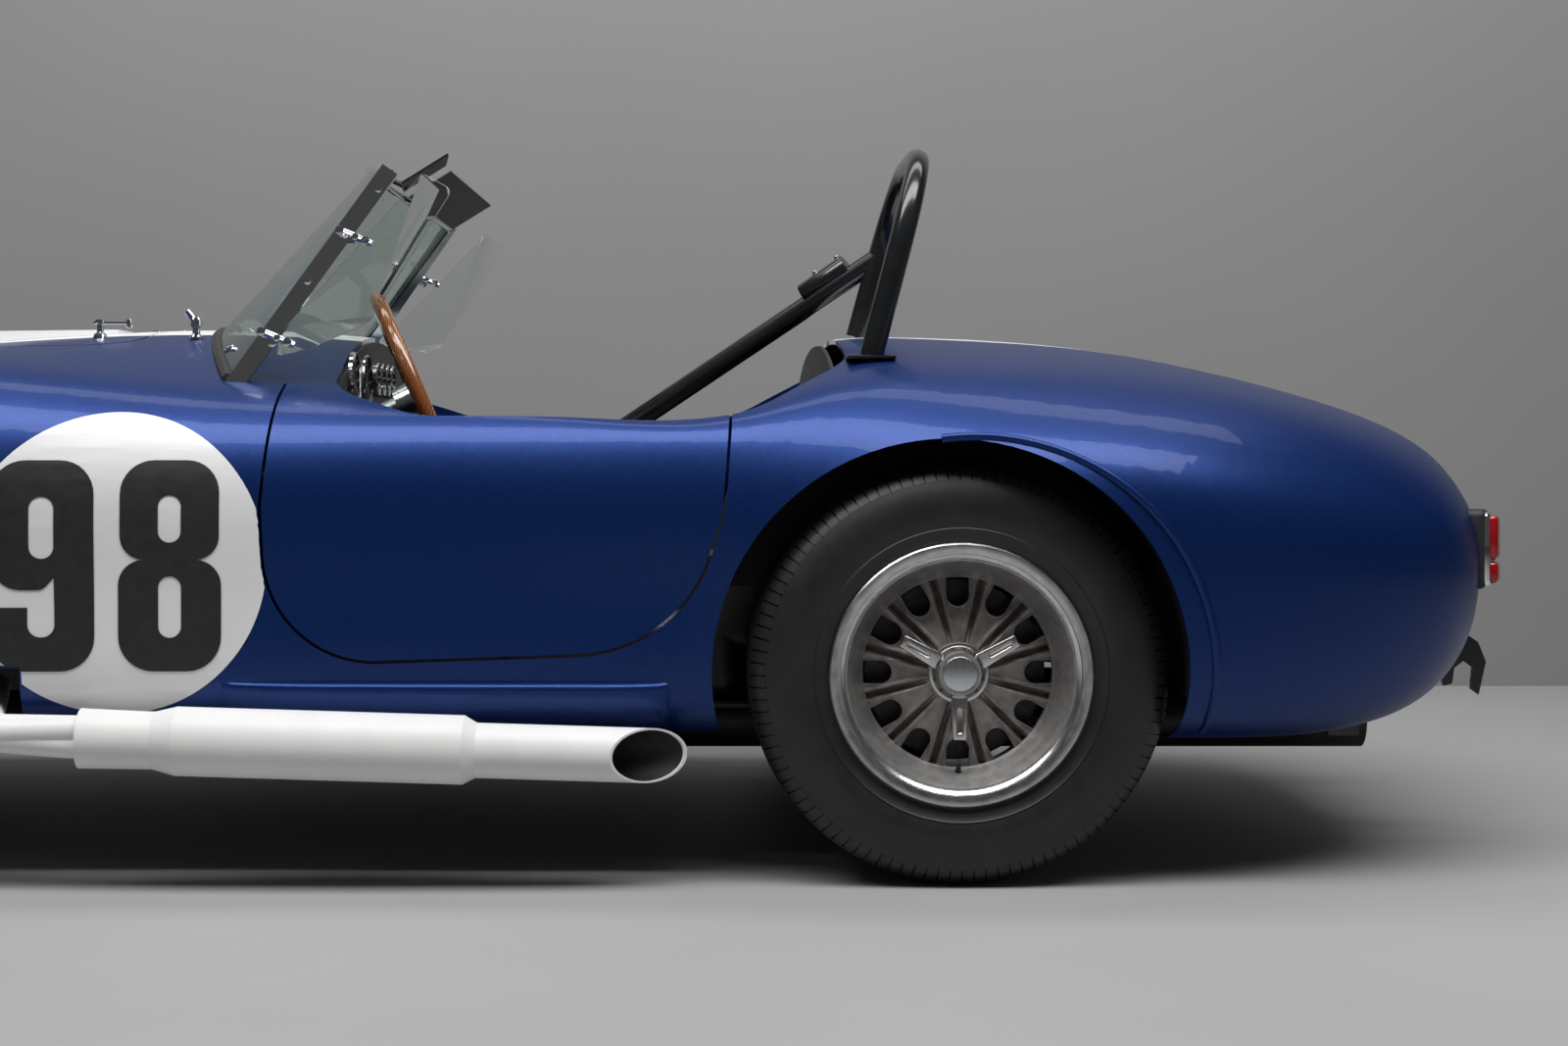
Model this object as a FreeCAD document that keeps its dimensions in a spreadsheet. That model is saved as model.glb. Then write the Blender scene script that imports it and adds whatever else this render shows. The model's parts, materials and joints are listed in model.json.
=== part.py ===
import FreeCAD, Part
import math
import os
import re

import Sketcher

Vec = FreeCAD.Vector

doc = FreeCAD.newDocument("OpenSportsCar")

# ---------------------------------------------------------------------------------------------
# Driving dimensions in millimetres: +X forward, +Y to the car's left, +Z up, floor at z = 0
# ---------------------------------------------------------------------------------------------
driving_sizes = [
    ("wheelbase", 2286),
    ("front_overhang", 706),
    ("rear_overhang", 988),
    ("body_half_width", 862),
    ("scuttle_height", 908),
    ("skin", 8),
    ("door_thickness", 45),
    ("lid_thickness", 25),
    ("panel_gap", 5),
    ("seat_gap", 0.3),
    ("tyre_radius", 336),
    ("front_tyre_width", 215),
    ("rear_tyre_width", 250),
    ("front_rim_width", 190),
    ("rear_rim_width", 241),
    ("front_wheel_side", 690),
    ("rear_wheel_side", 680),
    ("lip_radius", 208),
    ("bead_radius", 192),
    ("barrel_radius", 172),
    ("barrel_wall", 8),
    ("rim_dish", 65),
    ("hub_radius", 42),
    ("disc_radius", 145),
    ("disc_thickness", 20),
    ("front_arch_radius", 387),
    ("rear_arch_radius", 372),
    ("rear_arch_shift", 20),
    ("kingpin_side", 630),
    ("door_front", 1110),
    ("door_rear", 342),
    ("door_sill", 350),
    ("cockpit_front", 1012),
    ("cockpit_rear", 164),
    ("cockpit_half_width", 706),
    ("floor_rise", 254),
    ("sheet_thickness", 6),
    ("bonnet_front", 400),
    ("bonnet_rear", 1387),
    ("boot_front", 330),
    ("boot_rear", 830),
    ("chassis_tube_radius", 51),
    ("chassis_half_width", 215),
    ("roll_tube_radius", 20),
    ("hoop_half_width", 231),
    ("hoop_height", 363),
    ("steering_radius", 190),
    ("steering_side", 340),
    ("glass_thickness", 6),
    ("muffler_radius", 54),
    ("tailpipe_radius", 43),
    ("pipe_wall", 3),
    ("pipe_side", 810),
    ("lamp_radius", 95),
    ("seat_width", 380),
    ("tunnel_half_width", 125),
    ("tunnel_height", 230),
]

sheet = doc.addObject("Spreadsheet::Sheet", "Sizes")
for row_number, (alias, number) in enumerate(driving_sizes, 1):
    sheet.set(f"A{row_number}", alias)
    sheet.set(f"B{row_number}", str(number))
    sheet.setAlias(f"B{row_number}", alias)
doc.recompute()

# Axle places follow from the overhangs, so that the origin stays midway between the two ends
front_axle = "(wheelbase + rear_overhang - front_overhang) / 2"
rear_axle = "(rear_overhang - front_overhang - wheelbase) / 2"


def size(expression):
    return float(sheet.evalExpression(expression))


def linked(expression):
    names = "|".join(alias for alias, number in driving_sizes)
    return re.sub(rf"\b({names})\b", r"Sizes.\1", str(expression))


x_front = size(front_axle)
x_rear = size(rear_axle)
width_scale = size("body_half_width") / 862
height_scale = size("scuttle_height") / 908
skin = size("skin")
gap = size("panel_gap")
seat = size("seat_gap")
axle_z = size("tyre_radius")
sheet_metal = size("sheet_thickness")
nodes = []


# ---------------------------------------------------------------------------------------------
# Helpers
# ---------------------------------------------------------------------------------------------
def keep(node):
    nodes.append(node)
    return node


def feature(name, shape, merged=True):
    # merged joins faces that lie on one surface; the free-form shell keeps its own faces
    node = doc.addObject("Part::Feature", name)
    node.Shape = shape.removeSplitter() if merged else shape
    return keep(node)


def bind_place(node, x, y, z):
    for axis, expression in zip("xyz", (x, y, z)):
        node.setExpression(f"Placement.Base.{axis}", linked(expression))


def origin_plane(body, role):
    return [item for item in body.Origin.OriginFeatures if item.Role == role][0]


def bound_sketch(body, name, role, corners):
    sketch = body.newObject("Sketcher::SketchObject", name)
    sketch.AttachmentSupport = [(origin_plane(body, role), "")]
    sketch.MapMode = "FlatFace"
    points = [Vec(size(across), size(up), 0) for across, up in corners]
    count = len(points)
    lines = [Part.LineSegment(points[i], points[(i + 1) % count]) for i in range(count)]
    sketch.addGeometry(lines, False)
    for i in range(count):
        sketch.addConstraint(Sketcher.Constraint("Coincident", i, 2, (i + 1) % count, 1))
    for i, (across, up) in enumerate(corners):
        for kind, value, expression in (("DistanceX", points[i].x, across), ("DistanceY", points[i].y, up)):
            number = sketch.addConstraint(Sketcher.Constraint(kind, -1, 1, i, 1, value))
            sketch.setExpression(f"Constraints[{number}]", linked(expression))
    return sketch


def revolved_body(name, corners):
    body = doc.addObject("PartDesign::Body", name)
    sketch = bound_sketch(body, name + "_profile", "YZ_Plane", corners)
    turn = body.newObject("PartDesign::Revolution", name + "_turn")
    turn.Profile = sketch
    turn.ReferenceAxis = (sketch, ["H_Axis"])
    turn.Angle = 360
    body.Tip = turn
    return body


def rounded_outline(corners, place):
    # corners: (across, up, radius); place turns an (across, up) pair into a point in space
    edges = []
    count = len(corners)
    tangents = []
    for i, (across, up, radius) in enumerate(corners):
        here = Vec(across, up, 0)
        before = Vec(*corners[i - 1][:2], 0)
        after = Vec(*corners[(i + 1) % count][:2], 0)
        inward = (before - here).normalize()
        outward = (after - here).normalize()
        half = inward.getAngle(outward) / 2
        reach = radius / math.tan(half)
        middle = here + (inward + outward).normalize() * (radius / math.sin(half) - radius)
        tangents.append((here + inward * reach, middle, here + outward * reach))
    for i, (start, middle, end) in enumerate(tangents):
        if corners[i][2] > 0:
            edges.append(Part.Arc(*[place(p.x, p.y) for p in (start, middle, end)]).toShape())
        following = tangents[(i + 1) % count][0]
        if (following - end).Length > 0.01:
            edges.append(Part.LineSegment(place(end.x, end.y), place(following.x, following.y)).toShape())
    return Part.Wire(edges)


def prism(wire, travel, grow=0):
    outline = wire.makeOffset2D(grow) if grow else wire
    return Part.Face(outline).extrude(travel)


def plan_wire(corners, level):
    return rounded_outline(corners, lambda x, y: Vec(x, y, level))


def side_wire(corners, y):
    return rounded_outline(corners, lambda x, z: Vec(x, y, z))


def mirrored_corners(half):
    return half + [(x, -y, radius) for x, y, radius in reversed(half)]


def mirror_y(shape):
    return shape.mirror(Vec(0, 0, 0), Vec(0, 1, 0))


def tube(points, radius, bend):
    # straight runs joined by arcs of one bend radius
    edges = []
    start = points[0]
    for i in range(1, len(points) - 1):
        before = (points[i - 1] - points[i]).normalize()
        after = (points[i + 1] - points[i]).normalize()
        half = before.getAngle(after) / 2
        reach = bend / math.tan(half)
        middle = points[i] + (before + after).normalize() * (bend / math.sin(half) - bend)
        entry = points[i] + before * reach
        leave = points[i] + after * reach
        edges.append(Part.LineSegment(start, entry).toShape())
        edges.append(Part.Arc(entry, middle, leave).toShape())
        start = leave
    edges.append(Part.LineSegment(start, points[-1]).toShape())
    path = Part.Wire(edges)
    ring = Part.Wire([Part.Circle(points[0], points[1] - points[0], radius).toShape()])
    return path.makePipeShell([ring], True, True)


def rod(start, end, radius):
    return Part.makeCylinder(radius, (end - start).Length, start, end - start)


def centred_box(x0, x1, y0, y1, z0, z1):
    return Part.makeBox(x1 - x0, y1 - y0, z1 - z0, Vec(x0, y0, z0))


# ---------------------------------------------------------------------------------------------
# Body form: cross-sections from the mouth to the tail, each from the top centre down the left
# side to the bottom centre. Columns: place along the car, centre height, then the bonnet
# valley, fender crown, shoulder, belt, lower side, sill and underside points, bottom height
# ---------------------------------------------------------------------------------------------
body_sections = [
    (x_front + 656, 545, (150, 540), (240, 518), (300, 480), (322, 440), (300, 395), (240, 360), (140, 342), 338),
    (x_front + 631, 588, (190, 586), (340, 586), (462, 552), (508, 462), (450, 370), (350, 318), (200, 295), 290),
    (x_front + 566, 640, (220, 642), (410, 676), (565, 640), (628, 508), (580, 352), (450, 285), (250, 262), 258),
    (x_front + 466, 690, (260, 692), (470, 736), (645, 688), (718, 535), (692, 360), (560, 262), (300, 245), 242),
    (x_front + 316, 745, (290, 745), (520, 790), (690, 745), (775, 590), (765, 380), (640, 250), (330, 240), 240),
    (x_front, 815, (330, 812), (560, 848), (720, 805), (812, 650), (815, 430), (740, 250), (400, 238), 238),
    (x_front - 334, 862, (360, 845), (580, 850), (715, 800), (800, 650), (800, 430), (735, 250), (400, 238), 238),
    (x_rear + 1602, 895, (360, 868), (570, 842), (700, 790), (780, 650), (782, 440), (725, 250), (400, 238), 238),
    (x_rear + 1252, 908, (340, 875), (560, 818), (690, 765), (768, 640), (770, 440), (718, 248), (400, 238), 238),
    (x_rear + 902, 880, (360, 850), (580, 795), (705, 745), (765, 630), (768, 440), (718, 248), (400, 238), 238),
    (x_rear + 602, 840, (400, 800), (640, 755), (728, 725), (772, 610), (770, 430), (720, 248), (400, 238), 238),
    (x_rear + 352, 860, (380, 820), (640, 765), (742, 722), (785, 600), (780, 430), (722, 248), (400, 238), 238),
    (x_rear + 172, 888, (340, 872), (600, 825), (735, 770), (820, 640), (825, 450), (745, 250), (400, 238), 238),
    (x_rear, 893, (330, 876), (600, 834), (745, 775), (850, 650), (862, 450), (795, 250), (430, 236), 236),
    (x_rear - 298, 870, (320, 856), (570, 820), (720, 762), (835, 640), (850, 440), (785, 248), (420, 232), 232),
    (x_rear - 498, 832, (310, 820), (540, 788), (680, 732), (785, 610), (800, 430), (725, 242), (400, 230), 230),
    (x_rear - 698, 780, (290, 768), (490, 735), (620, 675), (705, 560), (705, 410), (620, 252), (340, 238), 236),
    (x_rear - 818, 738, (265, 724), (440, 688), (560, 628), (630, 530), (615, 395), (520, 285), (290, 266), 262),
    (x_rear - 898, 690, (225, 676), (365, 640), (468, 588), (520, 515), (500, 415), (415, 345), (230, 322), 318),
    (x_rear - 935, 640, (165, 632), (265, 606), (345, 565), (385, 513), (362, 450), (295, 405), (165, 385), 382),
    (x_rear - 948, 590, (90, 586), (148, 570), (190, 545), (205, 512), (188, 480), (148, 455), (85, 443), 440),
]
points_per_span = 4


def section_points(section):
    x, top, *side, bottom = section
    left = [(0, top)] + side + [(0, bottom)]
    ring = left[::-1] + [(-y, z) for y, z in left[1:]]
    keys = [Vec(x, y * width_scale, z * height_scale) for y, z in ring]
    curve = Part.BSplineCurve()
    curve.interpolate(Points=keys, Parameters=[float(i) for i in range(len(keys))])
    steps = (len(keys) - 1) * points_per_span
    return [curve.value(i / points_per_span) for i in range(steps + 1)]


def inset_grid(grid, depth):
    moved = []
    last = len(grid) - 1
    for i, row in enumerate(grid):
        inner_row = []
        for j, point in enumerate(row):
            along = grid[min(i + 1, last)][j] - grid[max(i - 1, 0)][j]
            before = row[j - 1] if j > 0 else row[-2]
            after = row[j + 1] if j < len(row) - 1 else row[1]
            inner_row.append(point - along.cross(after - before).normalize() * depth)
        moved.append(inner_row)
    return moved


def form_solid(grid):
    surface = Part.BSplineSurface()
    surface.interpolate(grid)
    first, last = surface.bounds()[:2]
    ends = [Part.Face(Part.Wire([surface.uIso(at).toShape()])) for at in (first, last)]
    return Part.Solid(Part.Shell([surface.toShape()] + ends))


def body_form(depth=0):
    grid = [section_points(section) for section in body_sections]
    if depth == 0:
        return form_solid(grid)
    grid = inset_grid(grid, depth)
    mouth_x = body_sections[0][0] + 5
    tail_x = body_sections[-1][0] + depth
    grid[0] = [Vec(mouth_x, point.y, point.z) for point in grid[0]]
    grid[-1] = [Vec(tail_x, point.y, point.z) for point in grid[-1]]
    return form_solid(grid)


outer_form = body_form()
skin_form = body_form(skin)
cavity = body_form(skin + seat)
door_inner_form = body_form(size("door_thickness"))
lid_inner_form = body_form(size("lid_thickness"))

# ---------------------------------------------------------------------------------------------
# Openings in the body
# ---------------------------------------------------------------------------------------------
arch_z = axle_z
front_arch_x = x_front
rear_arch_x = x_rear + size("rear_arch_shift")
cockpit_half = size("cockpit_half_width")
door_front_x = x_rear + size("door_front")
door_rear_x = x_rear + size("door_rear")
sill_z = size("door_sill")

cockpit_corners = mirrored_corners([
    (x_rear + size("cockpit_front"), 620, 110),
    (x_rear + size("cockpit_front") - 130, cockpit_half, 160),
    (x_rear + size("cockpit_rear") + 150, cockpit_half, 130),
    (x_rear + size("cockpit_rear"), 570, 150),
])
cockpit_cut = prism(plan_wire(cockpit_corners, 560), Vec(0, 0, 500))

door_corners = [
    (door_front_x - 28, 950, 0),
    (door_front_x, 600, 0),
    (door_front_x - 13, sill_z - 5, 180),
    (door_rear_x + 100, sill_z + 18, 230),
    (door_rear_x + 28, 590, 200),
    (door_rear_x, 950, 0),
]
door_wire = side_wire(door_corners, 600)
door_travel = Vec(0, 320, 0)

bonnet_corners = mirrored_corners([
    (x_front + size("bonnet_front"), 250, 150),
    (x_rear + size("bonnet_rear"), 395, 110),
])
bonnet_wire = plan_wire(bonnet_corners, 560)
boot_corners = mirrored_corners([
    (x_rear - size("boot_front"), 330, 90),
    (x_rear - size("boot_rear"), 270, 90),
])
boot_wire = plan_wire(boot_corners, 600)
lid_travel = Vec(0, 0, 500)

underside_corners = mirrored_corners([
    (x_front + 450, 300, 30),
    (x_front + 300, 500, 60),
    (x_front - 84, 690, 60),
    (x_rear - 298, 700, 60),
    (x_rear - 660, 520, 80),
    (x_rear - 800, 300, 30),
])
underside_cut = prism(plan_wire(underside_corners, 150), Vec(0, 0, 125))


def arch_cylinder(x, radius, inner_y=450):
    left = Part.makeCylinder(radius, 500, Vec(x, inner_y, arch_z), Vec(0, 1, 0))
    return left.fuse(mirror_y(left))


lamp_spots = [(x_front + 455, 535, 596)]


def lamp_pocket(x, y, z, radius):
    left = Part.makeCylinder(radius, 200, Vec(x - 60, y, z), Vec(1, 0, 0))
    return left.fuse(mirror_y(left))


pipe_notch = centred_box(x_front - 800, x_front - 440, 640, 900, 200, 345)
bracket_y = size("chassis_half_width") + size("chassis_tube_radius") + seat
bracket_slot = centred_box(x_rear - 960, x_rear - 700, bracket_y - gap, bracket_y + 10 + gap, 200, 372)
filler_x = x_rear - 130
filler_y = -500
filler_r = 40
filler_top = 862
filler_hole = Part.makeCylinder(filler_r + seat, 200, Vec(filler_x, filler_y, 760))

body = outer_form.cut(skin_form)
for cutter in (
    cockpit_cut,
    prism(door_wire, door_travel),
    mirror_y(prism(door_wire, door_travel)),
    prism(bonnet_wire, lid_travel),
    prism(boot_wire, lid_travel),
    underside_cut,
    arch_cylinder(front_arch_x, size("front_arch_radius")),
    arch_cylinder(rear_arch_x, size("rear_arch_radius")),
    lamp_pocket(*lamp_spots[0], size("lamp_radius") + seat),
    pipe_notch,
    mirror_y(pipe_notch),
    bracket_slot,
    mirror_y(bracket_slot),
    filler_hole,
):
    body = body.cut(cutter)


def landing_pad(opening, depth, block):
    # a rest on the skin's inner side that reaches under the edge of a panel of the given depth
    band = body_form(skin - 2).cut(body_form(depth + 10)).common(block)
    return band.cut(opening.cut(body_form(depth + seat)))


door_opening = prism(door_wire, door_travel)
door_depth = size("door_thickness")
lid_depth = size("lid_thickness")
striker = landing_pad(door_opening, door_depth, centred_box(door_rear_x - 22, door_rear_x + 25, 600, 900, 630, 665))
bonnet_back = x_rear + size("bonnet_rear")
bonnet_rest = landing_pad(prism(bonnet_wire, lid_travel), lid_depth,
                          centred_box(bonnet_back - 22, bonnet_back + 20, 225, 275, 700, 1000))
boot_back = x_rear - size("boot_rear")
boot_rest = landing_pad(prism(boot_wire, lid_travel), lid_depth,
                        centred_box(boot_back - 20, boot_back + 20, 105, 155, 600, 900))
pads = [striker, bonnet_rest, boot_rest]
body = body.multiFuse(pads + [mirror_y(pad) for pad in pads])
body = max(body.Solids, key=lambda solid: solid.Volume)
feature("body_shell", body, merged=False)

# ---------------------------------------------------------------------------------------------
# Doors and lids: whole thickness, a panel gap inside the openings
# ---------------------------------------------------------------------------------------------
door = outer_form.cut(door_inner_form).common(prism(door_wire, door_travel, -gap)).cut(cockpit_cut)
door = max(door.Solids, key=lambda solid: solid.Volume)
feature("door_left", door)
feature("door_right", mirror_y(door))

lid_band = outer_form.cut(lid_inner_form)
bonnet = lid_band.common(prism(bonnet_wire, lid_travel, -gap))
feature("bonnet", bonnet)
boot = lid_band.common(prism(boot_wire, lid_travel, -gap))
feature("boot_lid", boot)

scoop_x0 = x_front - 820
scoop_x1 = x_front - 120
scoop_profile = side_wire([
    (scoop_x0, 800, 0), (scoop_x0, 905, 0), (scoop_x1 - 60, 898, 0), (scoop_x1, 884, 0), (scoop_x1, 800, 0),
], -150)
scoop = prism(scoop_profile, Vec(0, 300, 0)).cut(body_form(-seat))
feature("bonnet_scoop", max(scoop.Solids, key=lambda solid: solid.Volume))

# ---------------------------------------------------------------------------------------------
# Inside the shell: floor, firewall, bulkhead, wheel houses, tunnel
# ---------------------------------------------------------------------------------------------
floor_z = size("floor_rise + skin")
tunnel_w = size("tunnel_half_width")
tunnel_top = floor_z + size("tunnel_height")
firewall_x = x_rear + 1432
bulkhead_x = x_rear + 192
house_clear = arch_cylinder(rear_arch_x, size("rear_arch_radius") + 8 + sheet_metal + seat, 520 - seat)
floor = centred_box(bulkhead_x, firewall_x - seat, -900, 900, floor_z - sheet_metal, floor_z)
floor = floor.common(cavity).cut(house_clear)
feature("floor_pan", max(floor.Solids, key=lambda solid: solid.Volume))
firewall = centred_box(firewall_x, firewall_x + sheet_metal, -900, 900, floor_z - sheet_metal, 1000)
bonnet_room = prism(bonnet_wire, lid_travel, gap).cut(body_form(lid_depth + gap))
firewall = firewall.common(cavity).cut(bonnet_room)
feature("firewall", firewall)
bulkhead = centred_box(bulkhead_x - sheet_metal - seat, bulkhead_x - seat, -900, 900, floor_z - sheet_metal, 1000)
bulkhead = bulkhead.common(cavity).cut(house_clear)
feature("rear_bulkhead", max(bulkhead.Solids, key=lambda solid: solid.Volume))
tunnel = centred_box(bulkhead_x + seat, firewall_x - 2 * seat, -tunnel_w, tunnel_w, floor_z + seat, tunnel_top)
tunnel_inside = centred_box(
    bulkhead_x - 10, firewall_x + 10, -tunnel_w + sheet_metal, tunnel_w - sheet_metal, floor_z - 10,
    tunnel_top - sheet_metal,
)
feature("tunnel", tunnel.cut(tunnel_inside))


def wheel_house(x, radius, inner_y, wall_from):
    outer = Part.makeCylinder(radius + sheet_metal, 900 - inner_y, Vec(x, inner_y, arch_z), Vec(0, 1, 0))
    inner = Part.makeCylinder(
        radius, 900 - inner_y, Vec(x, inner_y + sheet_metal, arch_z), Vec(0, 1, 0))
    hollow = outer.cut(inner)
    lower = centred_box(x - 500, x + 500, inner_y - 1, 901, 0, wall_from)
    ring_low = centred_box(x - 500, x + 500, inner_y + sheet_metal, 901, 0, 300)
    wall = hollow.cut(lower)
    skirt = hollow.cut(ring_low).common(centred_box(x - 500, x + 500, inner_y + sheet_metal, 901, 0, 900))
    return wall.fuse(skirt).common(cavity)


front_house = wheel_house(front_arch_x, size("front_arch_radius") + 12, 425, 520)
rear_house = wheel_house(rear_arch_x, size("rear_arch_radius") + 8, 520, 460)
feature("front_wheel_houses", Part.makeCompound([front_house, mirror_y(front_house)]))
feature("rear_wheel_houses", Part.makeCompound([rear_house, mirror_y(rear_house)]))

boot_floor = centred_box(x_rear - 840, bulkhead_x - sheet_metal - 3 * seat, -505, 505, 480, 480 + sheet_metal)
feature("boot_floor", boot_floor.common(cavity))

# ---------------------------------------------------------------------------------------------
# Chassis, engine, suspension
# ---------------------------------------------------------------------------------------------
rail_r = size("chassis_tube_radius")
rail_y = size("chassis_half_width")
rail_z = floor_z - sheet_metal - rail_r - seat
rails = [rod(Vec(x_rear - 780, side * rail_y, rail_z), Vec(x_front + 415, side * rail_y, rail_z), rail_r)
         for side in (1, -1)]
cross_places = [x_rear - 700, x_rear - 100, x_rear + 100, x_rear + 420, x_rear + 1100, x_front - 250, x_front + 250]
cross = [rod(Vec(x, -rail_y, rail_z), Vec(x, rail_y, rail_z), rail_r * 0.8) for x in cross_places]
towers = [centred_box(x_front - 150, x_front + 150, min(side * 195, side * 245), max(side * 195, side * 245),
                      rail_z, axle_z + 150) for side in (1, -1)]
hanger_x = x_rear + 455
hanger_end = size("pipe_side") - size("tailpipe_radius") - seat
hangers = [rod(Vec(hanger_x, side * rail_y, 210), Vec(hanger_x, side * hanger_end, 210), 12) for side in (1, -1)]
chassis = rails[0].multiFuse(rails[1:] + cross + towers + hangers)
feature("chassis", chassis)

engine = centred_box(x_front - 770, x_front - 160, -230, 230, rail_z + rail_r + seat, 760)
feature("engine_block", engine)
radiator = centred_box(x_front + 330, x_front + 380, -260, 260, rail_z + rail_r + seat, 640).common(cavity)
feature("radiator", radiator)


kingpin = size("kingpin_side")
post_reach = 120
ball_r = 15


def front_arms(side):
    pieces = []
    inner_y = side * (rail_y + 28)
    for inner_z, ball_z in (
        (rail_z + 20, axle_z - post_reach - ball_r - seat),
        (axle_z + 125, axle_z + post_reach + ball_r + seat),
    ):
        ball = Vec(x_front, side * kingpin, ball_z)
        pieces.append(Part.makeSphere(ball_r, ball))
        pieces += [rod(Vec(x_front + reach, inner_y, inner_z), ball, 12) for reach in (-130, 130)]
    return pieces[0].multiFuse(pieces[1:]).cut(chassis)


feature("front_suspension", Part.makeCompound([front_arms(1), front_arms(-1)]))
rear_disc_face = size("rear_wheel_side + rear_rim_width / 2 - rim_dish - 44 - disc_thickness")
rear_parts = [centred_box(x_rear - 150, x_rear + 150, -110, 110, rail_z + rail_r * 0.8 + seat,
                          axle_z + 90)]
for side in (1, -1):
    shaft = rod(Vec(x_rear, side * 100, axle_z), Vec(x_rear, side * 520, axle_z), 22)
    upright = centred_box(x_rear - 45, x_rear + 45, min(side * 515, side * 560), max(side * 515, side * 560),
                          axle_z - 110, axle_z + 110)
    carrier = rod(Vec(x_rear, side * 540, axle_z), Vec(x_rear, side * (rear_disc_face - seat), axle_z), 40)
    lower = rod(Vec(x_rear - 60, side * 100, axle_z - 50), Vec(x_rear - 20, side * 520, axle_z - 60), 16)
    rear_parts += [shaft, upright, carrier, lower]
feature("rear_suspension", rear_parts[0].multiFuse(rear_parts[1:]))

disc_face = size("front_wheel_side + front_rim_width / 2 - rim_dish - 44 - disc_thickness")
post = rod(Vec(x_front, kingpin, axle_z - post_reach), Vec(x_front, kingpin, axle_z + post_reach), 18)
stub = rod(Vec(x_front, kingpin - 10, axle_z), Vec(x_front, disc_face - seat, axle_z), 34)
knuckle = post.fuse(stub)
feature("knuckle_left", knuckle)
feature("knuckle_right", mirror_y(knuckle))

# ---------------------------------------------------------------------------------------------
# Wheels
# ---------------------------------------------------------------------------------------------
corners = [
    ("front_left", "front", 1), ("front_right", "front", -1),
    ("rear_left", "rear", 1), ("rear_right", "rear", -1),
]


def rim_profile(width):
    half = f"{width} / 2"
    face = f"{half} - rim_dish"
    return [
        (half, "lip_radius - 10"), (half, "lip_radius"), (f"{half} - 11", "lip_radius"),
        (f"{half} - 13", "bead_radius"), (f"{half} - 45", "bead_radius - 2"),
        (f"{half} - 62", "barrel_radius"), (f"-{half} + 62", "barrel_radius"),
        (f"-{half} + 45", "bead_radius - 2"), (f"-{half} + 13", "bead_radius"),
        (f"-{half} + 11", "lip_radius"), (f"-{half}", "lip_radius"), (f"-{half}", "lip_radius - 10"),
        (f"-{half} + 20", "bead_radius - barrel_wall - 2"),
        (f"-{half} + 66", "barrel_radius - barrel_wall"),
        (f"{face} - 16", "barrel_radius - barrel_wall"), (f"{face} - 2", "hub_radius + 22"),
        (f"{face} - 34", "hub_radius + 14"), (f"{face} - 34", "0"), (f"{face} + 18", "0"),
        (f"{face} + 18", "hub_radius"), (f"{face} + 10", "hub_radius + 22"),
        (f"{face}", "barrel_radius - barrel_wall - 14"),
        (f"{half} - 60", "barrel_radius - barrel_wall + 2"),
        (f"{half} - 50", "bead_radius - barrel_wall - 8"), (f"{half} - 14", "bead_radius - barrel_wall - 2"),
    ]


def tyre_profile(width, rim):
    half = f"{rim} / 2"
    return [
        (f"{half} - 13.5", "bead_radius + 0.3"), (f"{half} - 11.5", "lip_radius + 4"),
        (f"{width} / 2 - 12", "lip_radius + 14"), (f"{width} / 2", "lip_radius + 52"),
        (f"{width} / 2 - 3", "tyre_radius - 44"), (f"{width} / 2 - 16", "tyre_radius - 14"),
        (f"{width} / 2 - 34", "tyre_radius - 3"), ("0", "tyre_radius"),
        (f"-{width} / 2 + 34", "tyre_radius - 3"), (f"-{width} / 2 + 16", "tyre_radius - 14"),
        (f"-{width} / 2 + 3", "tyre_radius - 44"), (f"-{width} / 2", "lip_radius + 52"),
        (f"-{width} / 2 + 12", "lip_radius + 14"), (f"-{half} + 11.5", "lip_radius + 4"),
        (f"-{half} + 13.5", "bead_radius + 0.3"), (f"-{half} + 26", "bead_radius + 0.3"),
        (f"-{half} + 26", "lip_radius + 2"), (f"-{width} / 2 + 14", "lip_radius + 52"),
        (f"-{width} / 2 + 34", "tyre_radius - 20"), (f"{width} / 2 - 34", "tyre_radius - 20"),
        (f"{width} / 2 - 14", "lip_radius + 52"), (f"{half} - 26", "lip_radius + 2"),
        (f"{half} - 26", "bead_radius + 0.3"),
    ]


def wheel_window(body, count=12):
    sketch = bound_sketch(body, body.Name + "_window", "XZ_Plane", [
        ("-17", "hub_radius + 62"), ("-24", "hub_radius + 100"), ("24", "hub_radius + 100"), ("17", "hub_radius + 62"),
    ])
    cut = body.newObject("PartDesign::Pocket", body.Name + "_window_cut")
    cut.Profile = sketch
    cut.Type = "ThroughAll"
    cut.Midplane = True
    pattern = body.newObject("PartDesign::PolarPattern", body.Name + "_windows")
    pattern.Originals = [cut]
    pattern.Axis = (origin_plane(body, "Y_Axis"), [""])
    pattern.Angle = 360
    pattern.Occurrences = count
    body.Tip = pattern


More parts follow.
